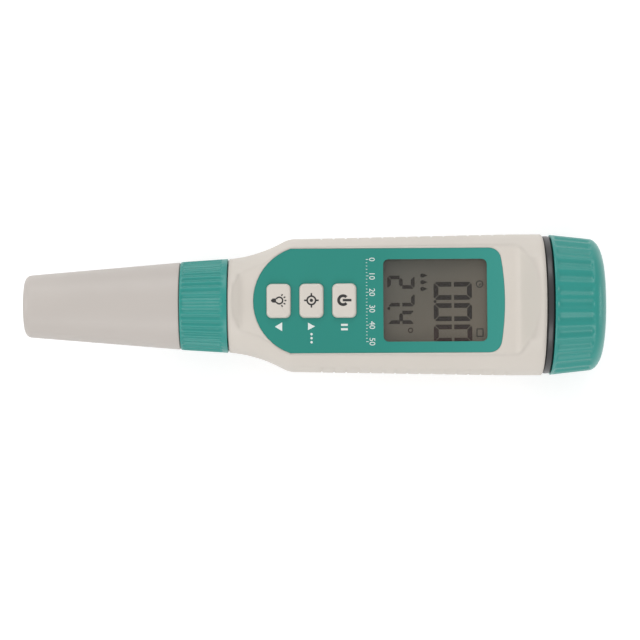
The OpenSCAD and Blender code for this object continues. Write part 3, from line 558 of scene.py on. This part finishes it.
def board_green(tree):
    """Solder mask with the faint relief of the copper under it."""
    traces = tree.nodes.new("ShaderNodeTexBrick")
    traces.inputs["Scale"].default_value = 260
    traces.inputs["Mortar Size"].default_value = 0.03
    traces.inputs["Color1"].default_value = (*srgb(22, 92, 58), 1)
    traces.inputs["Color2"].default_value = (*srgb(26, 100, 62), 1)
    traces.inputs["Mortar"].default_value = (*srgb(38, 122, 76), 1)
    tree.links.new(object_place(tree), traces.inputs["Vector"])
    surface = place_group(tree, moulded_skin, Smooth=0.25, Rough=0.35)
    paint(tree, traces.outputs["Color"], surface)
    add_relief(tree, traces.outputs["Fac"], depth=0.02)


def bright_steel(tree):
    metal(tree, srgb(205, 205, 207), smooth=0.16, rough=0.30)


def contact_brass(tree):
    metal(tree, srgb(214, 186, 116), smooth=0.18, rough=0.32)


FINISHES = {
    make.__name__: make
    for make in (
        shell_plastic, pale_plastic, key_plastic, teal_plastic, label_film, clear_window, display_glass,
        display_segment, faint_segment, light_ink, dark_ink, light_guide, dark_plastic, seal_rubber,
        lead_cover, cell_jacket, board_green, bright_steel, contact_brass,
    )
}


def finish(name):
    """The material with the finish of that name, made the first time it is asked for."""
    material = bpy.data.materials.get(f"pen_{name}")
    if not material:
        material = bpy.data.materials.new(f"pen_{name}")
        material.use_nodes = True
        FINISHES[name](material.node_tree)
    return material


# Making pieces


def add_object(name, data):
    """A new object in the scene."""
    thing = bpy.data.objects.new(name, data)
    bpy.context.scene.collection.objects.link(thing)
    return thing


def make_piece(bm, name, node, finish_name=None, crease=30):
    """Turns a bmesh in metres into a smooth-shaded piece on a CAD node's body, with its slot's finish
    unless one is named.
    """
    bmesh.ops.recalc_face_normals(bm, faces=bm.faces)
    return keep_piece(bm, name, node, finish_name, crease)


def keep_piece(bm, name, node, finish_name=None, crease=30):
    """The same for a bmesh whose faces already point outwards. A crease is an angle in degrees."""
    mesh = bpy.data.meshes.new(name)
    bm.to_mesh(mesh)
    bm.free()
    mesh.shade_smooth()
    mesh.set_sharp_from_angle(angle=radians(crease))
    mesh.materials.append(finish(finish_name or SLOT_OF[node]))
    piece = add_object(name, mesh)
    weighted = piece.modifiers.new("even_shading", "WEIGHTED_NORMAL")
    weighted.keep_sharp = True
    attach(piece, BODY_OF[node])
    return piece


def smooth_copy(node, crease=30):
    """A merged, smooth-shaded copy of a CAD node, which stands for it."""
    bm = bmesh.new()
    bm.from_mesh(frame["nodes"][node].data)
    bmesh.ops.remove_doubles(bm, verts=bm.verts, dist=COPY_WELD * MM)
    bmesh.ops.dissolve_degenerate(bm, edges=bm.edges, dist=COPY_WELD * MM)
    bmesh.ops.dissolve_limit(bm, verts=bm.verts, edges=bm.edges, angle_limit=radians(COPY_FLAT))
    piece = keep_piece(bm, f"{node}_piece", node, crease=crease)
    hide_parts(node)


def add_turned_piece(bm, node):
    """A turned shell, made along the pen, that stands for a CAD node."""
    bm.transform(PEN)
    piece = make_piece(bm, f"{node}_piece", node, crease=38)
    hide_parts(node)


def dress(node):
    """Gives a CAD node that stays its finish."""
    thing = frame["nodes"][node]
    material = finish(SLOT_OF[node])
    if not thing.material_slots:
        thing.data.materials.append(material)
    for holder in thing.material_slots:
        holder.material = material


def round_edges(bm, edges, offset, segments):
    bmesh.ops.bevel(
        bm, geom=edges, offset=offset, offset_type="OFFSET", segments=segments, profile=0.5,
        affect="EDGES", clamp_overlap=True, material=-1,
    )


def rounded_block(length, width, height, corner):
    """A block whose upright edges are rounded, as a new bmesh."""
    bm = bmesh.new()
    bmesh.ops.create_cube(bm, size=1)
    bmesh.ops.scale(bm, vec=(length, width, height), verts=bm.verts)
    upright = [edge for edge in bm.edges if edge.verts[0].co.xy == edge.verts[1].co.xy]
    round_edges(bm, upright, corner, KEY_CORNER_STEPS)
    return bm


# Flat marks. Each lies in a layer, given by its lowest and highest level


def add_bar(bm, start, end, line, layer):
    """A flat bar between two places on the front, as wide as the line."""
    low, high = layer
    start, end = Vector(start), Vector(end)
    run = end - start
    middle = (start + end) / 2
    place = (
        Matrix.Translation((middle.x, middle.y, (low + high) / 2))
        @ Matrix.Rotation(atan2(run.y, run.x), 4, "Z")
        @ Matrix.Diagonal((run.length, line, high - low, 1))
    )
    bmesh.ops.create_cube(bm, size=1, matrix=place)


def add_rays(bm, centre, angles, ends, line, layer):
    """Bars that run outwards from a centre, at angles in degrees."""
    centre = Vector(centre)
    start, end = ends
    for degrees in angles:
        turn = Vector((cos(radians(degrees)), sin(radians(degrees))))
        add_bar(bm, centre + start * turn, centre + end * turn, line, layer)


def add_arc(bm, centre, radius, line, layer, start=0.0, sweep=2 * pi):
    """A flat ring, or a part of one, spun from its upright section."""
    whole = sweep >= 2 * pi
    low, high = layer
    inner, outer = radius - line / 2, radius + line / 2
    corners = [
        bm.verts.new((centre[0] + r * cos(start), centre[1] + r * sin(start), z))
        for r, z in ((inner, low), (outer, low), (outer, high), (inner, high))
    ]
    sides = [bm.edges.new((corners[i], corners[(i + 1) % 4])) for i in range(4)]
    geometry = corners + sides
    if not whole:
        geometry.append(bm.faces.new(corners))
    bmesh.ops.spin(
        bm, geom=geometry, cent=(centre[0], centre[1], 0), axis=(0, 0, 1), dvec=(0, 0, 0),
        angle=sweep, steps=ARC_STEPS, use_merge=whole, use_duplicate=False,
    )


def add_plate(bm, outline, layer):
    """A flat plate with a straight-sided outline."""
    low, high = layer
    base = bm.faces.new([bm.verts.new((x, y, low)) for x, y in outline])
    raised = bmesh.ops.extrude_face_region(bm, geom=[base])
    moved = [part for part in raised["geom"] if isinstance(part, bmesh.types.BMVert)]
    bmesh.ops.translate(bm, verts=moved, vec=(0, 0, high - low))


def add_disc(bm, centre, radius, layer, sides=DISC_SIDES):
    """A flat round plate."""
    low, high = layer
    bmesh.ops.create_cone(
        bm, cap_ends=True, segments=sides, radius1=radius, radius2=radius, depth=high - low,
        matrix=Matrix.Translation((centre[0], centre[1], (low + high) / 2)),
    )


def add_numeral(bm, text, height, centre, layer):
    """Figures that read across the pen, with their feet towards the tip."""
    low, high = layer
    curve = bpy.data.curves.new("numeral", "FONT")
    curve.body = text
    curve.align_x = "CENTER"
    curve.size = height / FONT_FIGURE
    curve.extrude = (high - low) / 2
    curve.resolution_u = 4
    writing = add_object("numeral", curve)
    bpy.context.view_layer.update()
    mesh = bpy.data.meshes.new_from_object(writing)
    mesh.transform(
        Matrix.Translation((centre[0] - height / 2, centre[1], (low + high) / 2))
        @ Matrix.Rotation(-pi / 2, 4, "Z")
    )
    bm.from_mesh(mesh)
    bpy.data.objects.remove(writing)
    bpy.data.curves.remove(curve)
    bpy.data.meshes.remove(mesh)


# Turned shells. A station is a place along the pen, a radius and the depth of the flutes there


def add_ring(bm, x, radius, segments):
    """A circle round the axis at x, as its vertices and edges."""
    place = Matrix.Translation((x, 0, 0)) @ Matrix.Rotation(pi / 2, 4, "Y")
    verts = bmesh.ops.create_circle(bm, segments=segments, radius=radius, matrix=place)["verts"]
    return verts, list({edge for vert in verts for edge in vert.link_edges})


def add_turned_shell(bm, stations, flutes=12, phase=0.0, open_ends=True):
    """A ring at each station, joined to a closed shell.

    The last ring meets the first where the ends are open, and else each end ring is filled.
    """
    loops = []
    for x, radius, depth in stations:
        verts, edges = add_ring(bm, x, radius, FLUTE_POINTS * flutes)
        for vert in verts:
            angle = atan2(vert.co.z, vert.co.y)
            hollow = 0.5 - 0.5 * cos(flutes * (angle - phase))
            scale = 1 - depth * hollow / radius
            vert.co.y *= scale
            vert.co.z *= scale
        loops.append(edges)
    for first, second in zip(loops, loops[1:]):
        bmesh.ops.bridge_loops(bm, edges=first + second)
    if open_ends:
        bmesh.ops.bridge_loops(bm, edges=loops[-1] + loops[0])
    else:
        for end in (loops[0], loops[-1]):
            bmesh.ops.contextual_create(bm, geom=end)


def flute_run(first, last, depth, radius_at):
    """Stations along a run of flutes that runs out at both ends."""
    shares = [step / FLUTE_STEPS for step in range(FLUTE_STEPS + 1)]
    run_out = [(FLUTE_RUN_OUT * share, depth * sin(pi / 2 * share)) for share in shares]
    places = [(first + x, cut) for x, cut in run_out]
    places += [(last - x, cut) for x, cut in reversed(run_out)]
    return [(x, radius_at(x), cut) for x, cut in places]


def round_run(middle, radius, round_x, round_r, start, end, steps):
    """Stations along a part of an ellipse, between two angles in degrees."""
    angles = [radians(start + (end - start) * step / steps) for step in range(steps + 1)]
    return [(middle + round_x * cos(a), radius + round_r * sin(a), 0) for a in angles]


def first_edge(x, radius, size, steps=ROUND_STEPS):
    """Stations along the rounded outer edge of a face at x that looks to the tip."""
    return round_run(x + size, radius - size, size, size, 180, 90, steps)


def last_edge(x, radius, size, steps=ROUND_STEPS):
    """The same for a face that looks to the battery end."""
    return round_run(x - size, radius - size, size, size, 90, 0, steps)


def add_helix(bm, ridge, start, lead, turns, base):
    """A thread's ridge round the axis, from its trapezoid section at start."""
    root, crest = ridge
    foot, top = base / 2, base * THREAD_TOP / 2
    section = ((start - foot, root), (start - top, crest), (start + top, crest), (start + foot, root))
    corners = [bm.verts.new((x, 0, r)) for x, r in section]
    face = bm.faces.new(corners)
    steps = round(turns * THREAD_STEPS)
    bmesh.ops.spin(
        bm, geom=[face, *face.edges, *corners], cent=(0, 0, 0), axis=(1, 0, 0),
        dvec=(lead / THREAD_STEPS, 0, 0), angle=steps * 2 * pi / THREAD_STEPS, steps=steps,
        use_merge=False, use_duplicate=False,
    )


# The operators, one for each piece or group of like pieces


class PEN_OT_stage(bpy.types.Operator):
    """Floor, lights, surroundings and camera"""

    bl_idname = "pen_meter.stage"
    bl_label = "Stage"

    def execute(self, context):
        self.make_floor()
        self.make_surroundings(context)
        for name, (place, size, power) in SOFT_BOXES.items():
            self.make_light(name, place, size, power)
        self.make_camera(context)
        context.scene.view_settings.view_transform = "Standard"
        return {"FINISHED"}

    def make_floor(self):
        """A pale floor that the camera sees as white wherever no shadow lies on it."""
        bm = bmesh.new()
        bmesh.ops.create_grid(bm, x_segments=1, y_segments=1, size=FLOOR_HALF)
        mesh = bpy.data.meshes.new("floor")
        bm.to_mesh(mesh)
        bm.free()
        add_object("floor", mesh)
        material = bpy.data.materials.new("pale_floor")
        material.use_nodes = True
        tree = material.node_tree
        shader = shader_inputs(tree)
        shader["Base Color"].default_value = FLOOR_GREY
        shader["Roughness"].default_value = 1
        shader["Specular IOR Level"].default_value = 0
        shader["Emission Color"].default_value = WHITE
        glow = add_math(tree, "MULTIPLY", self.seen_directly(tree), self.far_glow(tree))
        tree.links.new(glow, shader["Emission Strength"])
        mesh.materials.append(material)

    def far_glow(self, tree):
        """Stronger away from the pen, where the soft boxes no longer light the floor."""
        away = tree.nodes.new("ShaderNodeVectorMath")
        away.operation = "LENGTH"
        tree.links.new(object_place(tree), away.inputs[0])
        return add_range(tree, away.outputs["Value"], GLOW_START, GLOW_END, GLOW_NEAR, GLOW_FAR)

    def seen_directly(self, tree):
        """1 for what is seen, straight, mirrored or through glass, and 0 for what lights the meter."""
        ray = tree.nodes.new("ShaderNodeLightPath").outputs
        mirrored = add_math(tree, "MAXIMUM", ray["Is Camera Ray"], ray["Is Glossy Ray"])
        return add_math(tree, "MAXIMUM", mirrored, ray["Is Transmission Ray"])

    def make_surroundings(self, context):
        """Even light from all round, seen as white."""
        world = bpy.data.worlds.new("studio")
        world.use_nodes = True
        context.scene.world = world
        tree = world.node_tree
        background = tree.nodes["Background"].inputs
        background["Color"].default_value = WHITE
        level = add_range(tree, self.seen_directly(tree), 0, 1, SKY_LIGHT, 1)
        tree.links.new(level, background["Strength"])

    def make_light(self, name, place, size, power):
        """A soft box that faces the pen."""
        lamp = bpy.data.lights.new(name, "AREA")
        lamp.shape = "RECTANGLE"
        lamp.size, lamp.size_y = size
        lamp.energy = power
        holder = add_object(name, lamp)
        holder.location = place
        aim = Vector((0, 0, AXIS_Z)) - holder.location
        holder.rotation_euler = aim.to_track_quat("-Z", "Y").to_euler()

    def make_camera(self, context):
        lens = bpy.data.cameras.new("camera")
        lens.lens = CAMERA_LENS
        lens.sensor_width = CAMERA_SENSOR
        lens.clip_start = CAMERA_CLIP
        camera = add_object("camera", lens)
        back = Vector((0, -cos(CAMERA_ELEVATION), sin(CAMERA_ELEVATION)))
        right = Vector((1, 0, 0))
        turn = Matrix((right, back.cross(right), back)).transposed().to_4x4()
        aim = Vector((*CAMERA_AIM, AXIS_Z))
        camera.matrix_world = (
            Matrix.Translation(aim + back * CAMERA_RANGE) @ turn @ Matrix.Rotation(CAMERA_ROLL, 4, "Z")
        )
        context.scene.camera = camera


class PEN_OT_shells(bpy.types.Operator):
    """Housing, front plate and sensor cap"""

    bl_idname = "pen_meter.shells"
    bl_label = "Shells"

    def execute(self, context):
        for node in ("housing", "front_plate", "sensor_cap"):
            smooth_copy(node)
        return {"FINISHED"}


class PEN_OT_teal_mouldings(bpy.types.Operator):
    """Collar and battery cap"""

    bl_idname = "pen_meter.teal_mouldings"
    bl_label = "Teal mouldings"

    def execute(self, context):
        bm = bmesh.new()
        add_turned_shell(bm, self.collar_stations(), COLLAR_RIBS)
        add_turned_piece(bm, "collar")
        bm = bmesh.new()
        add_turned_shell(bm, self.cap_stations(), CAP_LOBES, pi / CAP_LOBES, open_ends=False)
        add_turned_piece(bm, "battery_cap")
        return {"FINISHED"}

    def collar_stations(self):
        """From the lip that holds the electrode, out over the ribs, to the rim and back along the bore."""

        def outside(x):
            share = (x - COLLAR_START) / (COLLAR_END - COLLAR_START)
            return COLLAR_SMALL + (COLLAR_LARGE - COLLAR_SMALL) * share

        lip_end = COLLAR_START + COLLAR_LIP_T
        nose = first_edge(COLLAR_START, COLLAR_SMALL, COLLAR_ROUND)
        ribs = flute_run(COLLAR_START + COLLAR_NOSE, COLLAR_END - COLLAR_RIM, COLLAR_RIB_DEPTH, outside)
        rim = last_edge(COLLAR_END, COLLAR_LARGE, COLLAR_ROUND)
        return [
            (lip_end, COLLAR_LIP, 0), (COLLAR_START, COLLAR_LIP, 0), *nose, *ribs, *rim,
            (COLLAR_END, COLLAR_BORE, 0), (lip_end, COLLAR_BORE, 0),
        ]

    def cap_stations(self):
        """From the pilot hole, along the inside to the rim, and over the lobes to the closed end."""

        def outside(x):
            share = (x - CAP_START) / (CAP_SHOULDER_X - CAP_START)
            return CAP_RIM + (CAP_SHOULDER - CAP_RIM) * share

        rim = first_edge(CAP_START, CAP_RIM, CAP_RIM_ROUND)
        lobes = flute_run(
            CAP_START + CAP_LOBE_START, CAP_SHOULDER_X + CAP_LOBE_END, CAP_LOBE_DEPTH, outside
        )
        end = round_run(
            CAP_SHOULDER_X, CAP_FLAT, CAP_END - CAP_SHOULDER_X, CAP_SHOULDER - CAP_FLAT,
            CAP_END_ANGLE, 0, CAP_END_STEPS,
        )
        return [
            (CAP_PILOT_END, CAP_PILOT, 0), (CAP_PILLAR_X, CAP_PILOT, 0), (CAP_PILLAR_X, CAP_PILLAR, 0),
            (CAP_CEILING_X, CAP_PILLAR, 0), (CAP_CEILING_X, CAP_CEILING, 0), (CAP_BORE_END, CAP_BORE, 0),
            (CAP_START, CAP_BORE, 0), *rim, *lobes, *end,
        ]


class PEN_OT_threads(bpy.types.Operator):
    """Threads of the battery cap and of the collar, male and female"""

    bl_idname = "pen_meter.threads"
    bl_label = "Threads"

    def execute(self, context):
        lead = sizes().lead / MM
        run = (lead, CAP_THREAD_TURNS, CAP_THREAD_BASE)
        self.add_thread("neck_thread", "housing", NECK_RIDGE, CAP_THREAD_START, *run)
        self.add_thread("cap_thread", "battery_cap", CAP_RIDGE, CAP_THREAD_START + lead / 2, *run)
        lead = sizes().collar_lead / MM
        run = (lead, COLLAR_THREAD_TURNS, COLLAR_THREAD_BASE)
        self.add_thread("stub_thread", "housing", STUB_RIDGE, COLLAR_THREAD_START, *run)
        self.add_thread("collar_thread", "collar", COLLAR_RIDGE, COLLAR_THREAD_START + lead / 2, *run)
        return {"FINISHED"}

    def add_thread(self, name, node, ridge, start, lead, turns, base):
        """One ridge. The female one starts half a lead further on, so that the two lie side by side."""
        bm = bmesh.new()
        add_helix(bm, ridge, start, lead, turns, base)
        bm.transform(PEN)
        make_piece(bm, name, node)


class PEN_OT_seals(bpy.types.Operator):
    """Seal ring and the two rubber rings"""

    bl_idname = "pen_meter.seals"
    bl_label = "Seals"

    def execute(self, context):
        bm = bmesh.new()
        first = first_edge(SEAL_START, SEAL_OUTSIDE, SEAL_ROUND, SEAL_ROUND_STEPS)
        last = last_edge(SEAL_END, SEAL_OUTSIDE, SEAL_ROUND, SEAL_ROUND_STEPS)
        add_turned_shell(bm, [(SEAL_START, SEAL_BORE, 0), *first, *last, (SEAL_END, SEAL_BORE, 0)])
        add_turned_piece(bm, "seal_ring")
        for node in ("socket_o_ring", "cap_o_ring"):
            smooth_copy(node, crease=50)
        return {"FINISHED"}


class PEN_OT_label(bpy.types.Operator):
    """Label film with its plain printed scale and signs"""

    bl_idname = "pen_meter.label"
    bl_label = "Label"

    def execute(self, context):
        smooth_copy("front_overlay")
        for node, place in KEY_PLACES.items():
            self.add_border(node, place)
        bm = bmesh.new()
        self.add_signs(bm)
        self.add_scale(bm)
        bmesh.ops.remove_doubles(bm, verts=bm.verts, dist=PRINT_WELD)
        bm.transform(FRONT)
        make_piece(bm, "label_print", "front_overlay", "light_ink")
        return {"FINISHED"}

    def add_border(self, node, place):
        """The film's edge round a key, which closes most of the gap there."""
        room = FILM_HOLE + FILM_OVERLAP
        length, width = KEY_LENGTH + 2 * room, KEY_WIDTH + 2 * room
        bm = rounded_block(length, width, FILM_T - INK_T, KEY_CORNER + room)
        ends = [face for face in bm.faces if len(face.verts) > 4]
        bmesh.ops.inset_individual(
            bm, faces=ends, thickness=room - KEY_SKIRT - FILM_EDGE_GAP, use_even_offset=True
        )
        rims = [edge for face in ends for edge in face.edges]
        bmesh.ops.delete(bm, geom=ends, context="FACES_ONLY")
        bmesh.ops.bridge_loops(bm, edges=rims)
        bm.transform(FRONT @ Matrix.Translation((place, 0, -FILM_T / 2)))
        make_piece(bm, f"{node}_border", "front_overlay")

    def add_signs(self, bm):
        """Signs beside the keys: down, up with three dots, and pause."""
        for node, sign in (("light_key", DOWN_SIGN), ("cal_key", UP_SIGN)):
            add_plate(bm, [(KEY_PLACES[node] + x, y) for x, y in sign], LABEL_INK)
        for y in DOTS_Y:
            add_disc(bm, (KEY_PLACES["cal_key"], y), DOT_RADIUS, LABEL_INK)
        pause = KEY_PLACES["power_key"]
        for y in PAUSE_Y:
            add_bar(bm, (pause - PAUSE_HALF, y), (pause + PAUSE_HALF, y), PAUSE_LINE, LABEL_INK)

    def add_scale(self, bm):
        """A plain scale: numerals with a row of ticks at their feet."""
        height = sizes().numeral / MM
        middle = SCALE_FOOT + NUMERAL_GAP + height / 2
        for step in range(SCALE_STEPS + 1):
            y = SCALE_HALF - 2 * SCALE_HALF * step / SCALE_STEPS
            numbered = step % NUMERAL_STEPS == 0
            tick = LONG_TICK if numbered else SHORT_TICK
            add_bar(bm, (SCALE_FOOT, y), (SCALE_FOOT + tick, y), TICK_LINE, LABEL_INK)
            if numbered:
                add_numeral(bm, str(SCALE_TOP * step // SCALE_STEPS), height, (middle, y), LABEL_INK)


class PEN_OT_keys(bpy.types.Operator):
    """Three softly domed keys with a plain sign on each"""

    bl_idname = "pen_meter.keys"
    bl_label = "Keys"

    def execute(self, context):
        signs = {"light_key": self.add_lamp, "cal_key": self.add_target, "power_key": self.add_standby}
        for node, place in KEY_PLACES.items():
            self.add_key(node, place)
            bm = bmesh.new()
            signs[node](bm, place)
            bm.transform(FRONT)
            make_piece(bm, f"{node}_print", node, "dark_ink")
        return {"FINISHED"}

    def add_key(self, node, place):
        """A flange under the front plate, a skirt in the plate's hole, drafted sides and a crowned top."""
        length, width = KEY_LENGTH + 2 * KEY_FLANGE, KEY_WIDTH + 2 * KEY_FLANGE
        bm = rounded_block(length, width, KEY_FLANGE_T, KEY_CORNER + KEY_FLANGE)
        top = max(bm.faces, key=lambda face: face.calc_center_median().z)
        bmesh.ops.inset_individual(bm, faces=[top], thickness=KEY_FLANGE - KEY_SKIRT, use_even_offset=True)
        for rise in (KEY_SKIRT_TOP - KEY_BOTTOM - KEY_FLANGE_T, KEY_TOP - KEY_CROWN - KEY_SKIRT_TOP):
            top = bmesh.ops.extrude_discrete_faces(bm, faces=[top])["faces"][0]
            bmesh.ops.translate(bm, verts=top.verts, vec=(0, 0, rise))
        draft = [(size - 2 * KEY_DRAFT) / (size + 2 * KEY_SKIRT) for size in (KEY_LENGTH, KEY_WIDTH)]
        bmesh.ops.scale(bm, vec=(*draft, 1), verts=top.verts)
        round_edges(bm, list(top.edges), sizes().key_round / MM, KEY_EDGE_STEPS)
        top = max(bm.faces, key=lambda face: (round(face.calc_center_median().z, 4), face.calc_area()))
        bmesh.ops.inset_individual(
            bm, faces=[top], thickness=KEY_CROWN_IN, depth=KEY_CROWN, use_even_offset=True
        )
        bm.transform(FRONT @ Matrix.Translation((place, 0, KEY_BOTTOM + KEY_FLANGE_T / 2)))
        piece = make_piece(bm, f"{node}_piece", node, crease=40)
        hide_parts(node)

    def add_lamp(self, bm, x):
        """A lamp: a round bulb, its screw base towards the tip, and five rays."""
        bulb = (x + BULB_X, 0)
        add_arc(bm, bulb, BULB_RADIUS, BULB_LINE, KEY_INK, BULB_START, BULB_SWEEP)
        for place, half in LAMP_BASE:
            add_bar(bm, (x + place, -half), (x + place, half), LAMP_LINE, KEY_INK)
        add_rays(bm, bulb, LAMP_RAYS, LAMP_RAY, LAMP_LINE, KEY_INK)

    def add_target(self, bm, x):
        """A ring with a centre point and four short hairs."""
        add_arc(bm, (x, 0), TARGET_RADIUS, TARGET_LINE, KEY_INK)
        add_disc(bm, (x, 0), TARGET_POINT, KEY_INK, POINT_SIDES)
        add_rays(bm, (x, 0), TARGET_HAIRS, TARGET_HAIR, TARGET_HAIR_LINE, KEY_INK)

    def add_standby(self, bm, x):
        """The standby sign: a ring open towards the battery end, and a bar in the gap."""
        centre = (x + STANDBY_X, 0)
        add_arc(bm, centre, STANDBY_RADIUS, STANDBY_LINE, KEY_INK, STANDBY_START, STANDBY_SWEEP)
        first, last = STANDBY_BAR
        add_bar(bm, (x + first, 0), (x + last, 0), STANDBY_BAR_LINE, KEY_INK)


class PEN_OT_display(bpy.types.Operator):
    """Clear window, liquid crystal and the figures on it"""

    bl_idname = "pen_meter.display"
    bl_label = "Display"

    # The lit bars of each figure: top, upper right, lower right, foot, lower left, upper left, middle
    FIGURES = {"0": "abcdef", "2": "abdeg", "4": "bcfg", "7": "abc"}

    def execute(self, context):
        smooth_copy("display_window")
        smooth_copy("lcd_glass")
        bm = bmesh.new()
        large = self.bar_outlines(sizes().big_digit / MM, LARGE_WIDTH, LARGE_BAR)
        self.add_row(bm, LARGE_ROW, LARGE_FOOT, large, LARGE_POINT)
        small = self.bar_outlines(sizes().small_digit / MM, SMALL_WIDTH, SMALL_BAR)
        self.add_row(bm, SMALL_ROW, SMALL_FOOT, small, SMALL_POINT)
        add_arc(bm, DEGREE, DEGREE_RADIUS, DEGREE_LINE, CRYSTAL_INK)
        self.add_drops(bm)
        bm.transform(FRONT)
        make_piece(bm, "display_figures", "lcd_glass", "display_segment")
        self.add_signs()
        return {"FINISHED"}

    def add_row(self, bm, row, foot, outlines, point):
        """A row of seven-bar figures that reads across the pen, and its decimal point."""
        for figure, left in row:
            for lit in self.FIGURES[figure]:
                outline = [(foot + up, left - right) for right, up in outlines[lit]]
                add_plate(bm, outline, CRYSTAL_INK)
        add_disc(bm, point, POINT_RADIUS, CRYSTAL_INK)

    def bar_outlines(self, height, width, bar):
        """Outlines of the seven bars in the figure's own frame, mitred where two bars meet at a corner."""
        gap = BAR_GAP
        cut = BAR_CUT * bar
        end = height / 2 - BAR_SHORT
        flat = (
            (cut + gap, cut), (2 * cut + gap, 0), (width - 2 * cut - gap, 0),
            (width - cut - gap, cut), (width - bar - gap, bar), (bar + gap, bar),
        )
        upright = ((0, 2 * cut + gap), (cut, cut + gap), (bar, bar + gap), (bar, end), (0, end))
        middle, half = height / 2, bar / 2
        point = half + gap
        inner = point + half
        bridge = (
            (point, middle), (inner, middle + half), (width - point - half, middle + half),
            (width - point, middle), (width - point - half, middle - half), (inner, middle - half),
        )
        return {
            "a": [(x, height - y) for x, y in flat],
            "b": [(width - x, height - y) for x, y in upright],
            "c": [(width - x, y) for x, y in upright],
            "d": flat,
            "e": upright,
            "f": [(x, height - y) for x, y in upright],
            "g": bridge,
        }

    def add_drops(self, bm):
        """Three drops, as a plain sign for the water that is measured."""
        for y in DROPS_Y:
            add_disc(bm, (DROP_X, y), DROP_RADIUS, CRYSTAL_INK)
            tip = ((DROP_SIDE_X, y - DROP_SIDE), (DROP_TIP_X, y), (DROP_SIDE_X, y + DROP_SIDE))
            add_plate(bm, tip, CRYSTAL_INK)

    def add_signs(self):
        """Fainter signs: a clock and a cell."""
        bm = bmesh.new()
        clock = (CLOCK_X, CLOCK_Y)
        add_arc(bm, clock, CLOCK_RADIUS, MARK_LINE, CRYSTAL_INK)
        for x, y in CLOCK_HANDS:
            add_bar(bm, clock, (CLOCK_X + x, CLOCK_Y + y), MARK_LINE, CRYSTAL_INK)
        foot, head = CELL_X
        left, right = CELL_Y
        for x in CELL_X:
            add_bar(bm, (x, left), (x, right), MARK_LINE, CRYSTAL_INK)
        for y in CELL_Y:
            add_bar(bm, (foot - CELL_LAP, y), (head + CELL_LAP, y), MARK_LINE, CRYSTAL_INK)
        bm.transform(FRONT)
        make_piece(bm, "display_signs", "lcd_glass", "faint_segment")


class PEN_OT_electrode(bpy.types.Operator):
    """Electrode body, guard, pins and probe"""

    bl_idname = "pen_meter.electrode"
    bl_label = "Electrode"

    def execute(self, context):
        for node in ("electrode_body", "electrode_guard", "cell_pins", "temperature_probe", "plug_pins"):
            smooth_copy(node)
        return {"FINISHED"}


class PEN_OT_battery_bay(bpy.types.Operator):
    """Cells, cradle, springs, contacts and leads"""

    bl_idname = "pen_meter.battery_bay"
    bl_label = "Battery bay"

    NODES = (
        "battery_cradle", "battery_cells", "battery_springs", "battery_terminals", "battery_leads",
        "contact_carrier", "contact_strips", "carrier_screw",
    )

    def execute(self, context):
        for node in self.NODES:
            dress(node)
        return {"FINISHED"}


class PEN_OT_electronics(bpy.types.Operator):
    """Display frame, light, board, switches and the electrode's socket"""

    bl_idname = "pen_meter.electronics"
    bl_label = "Electronics"

    NODES = (
        "lcd_frame", "backlight_panel", "zebra_strips", "main_pcb", "pcb_screws", "tact_switches",
        "circuit_chips", "socket_block", "socket_sleeves", "socket_leads",
    )

    def execute(self, context):
        for node in self.NODES:
            dress(node)
        return {"FINISHED"}


OPERATORS = (
    PEN_OT_stage,
    PEN_OT_shells,
    PEN_OT_teal_mouldings,
    PEN_OT_threads,
    PEN_OT_seals,
    PEN_OT_label,
    PEN_OT_keys,
    PEN_OT_display,
    PEN_OT_electrode,
    PEN_OT_battery_bay,
    PEN_OT_electronics,
)


class PEN_PT_sidebar(bpy.types.Panel):
    """The meter's pieces, sizes and colours"""

    bl_idname = "PEN_PT_sidebar"
    bl_label = "Pen meter"
    bl_space_type = "VIEW_3D"
    bl_region_type = "UI"
    bl_category = "Pen meter"

    def draw(self, context):
        for operator in OPERATORS:
            self.layout.operator(operator.bl_idname)
        for group in (context.scene.pen_sizes, context.scene.pen_colours):
            box = self.layout.box()
            for name in group.__annotations__:
                box.prop(group, name)


CLASSES = (PenColours, PenSizes, *OPERATORS, PEN_PT_sidebar)


def register():
    for cls in CLASSES:
        bpy.utils.register_class(cls)
    bpy.types.Scene.pen_colours = PointerProperty(type=PenColours)
    bpy.types.Scene.pen_sizes = PointerProperty(type=PenSizes)


def unregister():
    del bpy.types.Scene.pen_sizes
    del bpy.types.Scene.pen_colours
    for cls in reversed(CLASSES):
        bpy.utils.unregister_class(cls)


def main():
    register()
    bpy.ops.pen_meter.stage()
    bpy.ops.pen_meter.shells()
    bpy.ops.pen_meter.teal_mouldings()
    bpy.ops.pen_meter.threads()
    bpy.ops.pen_meter.seals()
    bpy.ops.pen_meter.label()
    bpy.ops.pen_meter.keys()
    bpy.ops.pen_meter.display()
    bpy.ops.pen_meter.electrode()
    bpy.ops.pen_meter.battery_bay()
    bpy.ops.pen_meter.electronics()


if __name__ == "__main__":
    main()
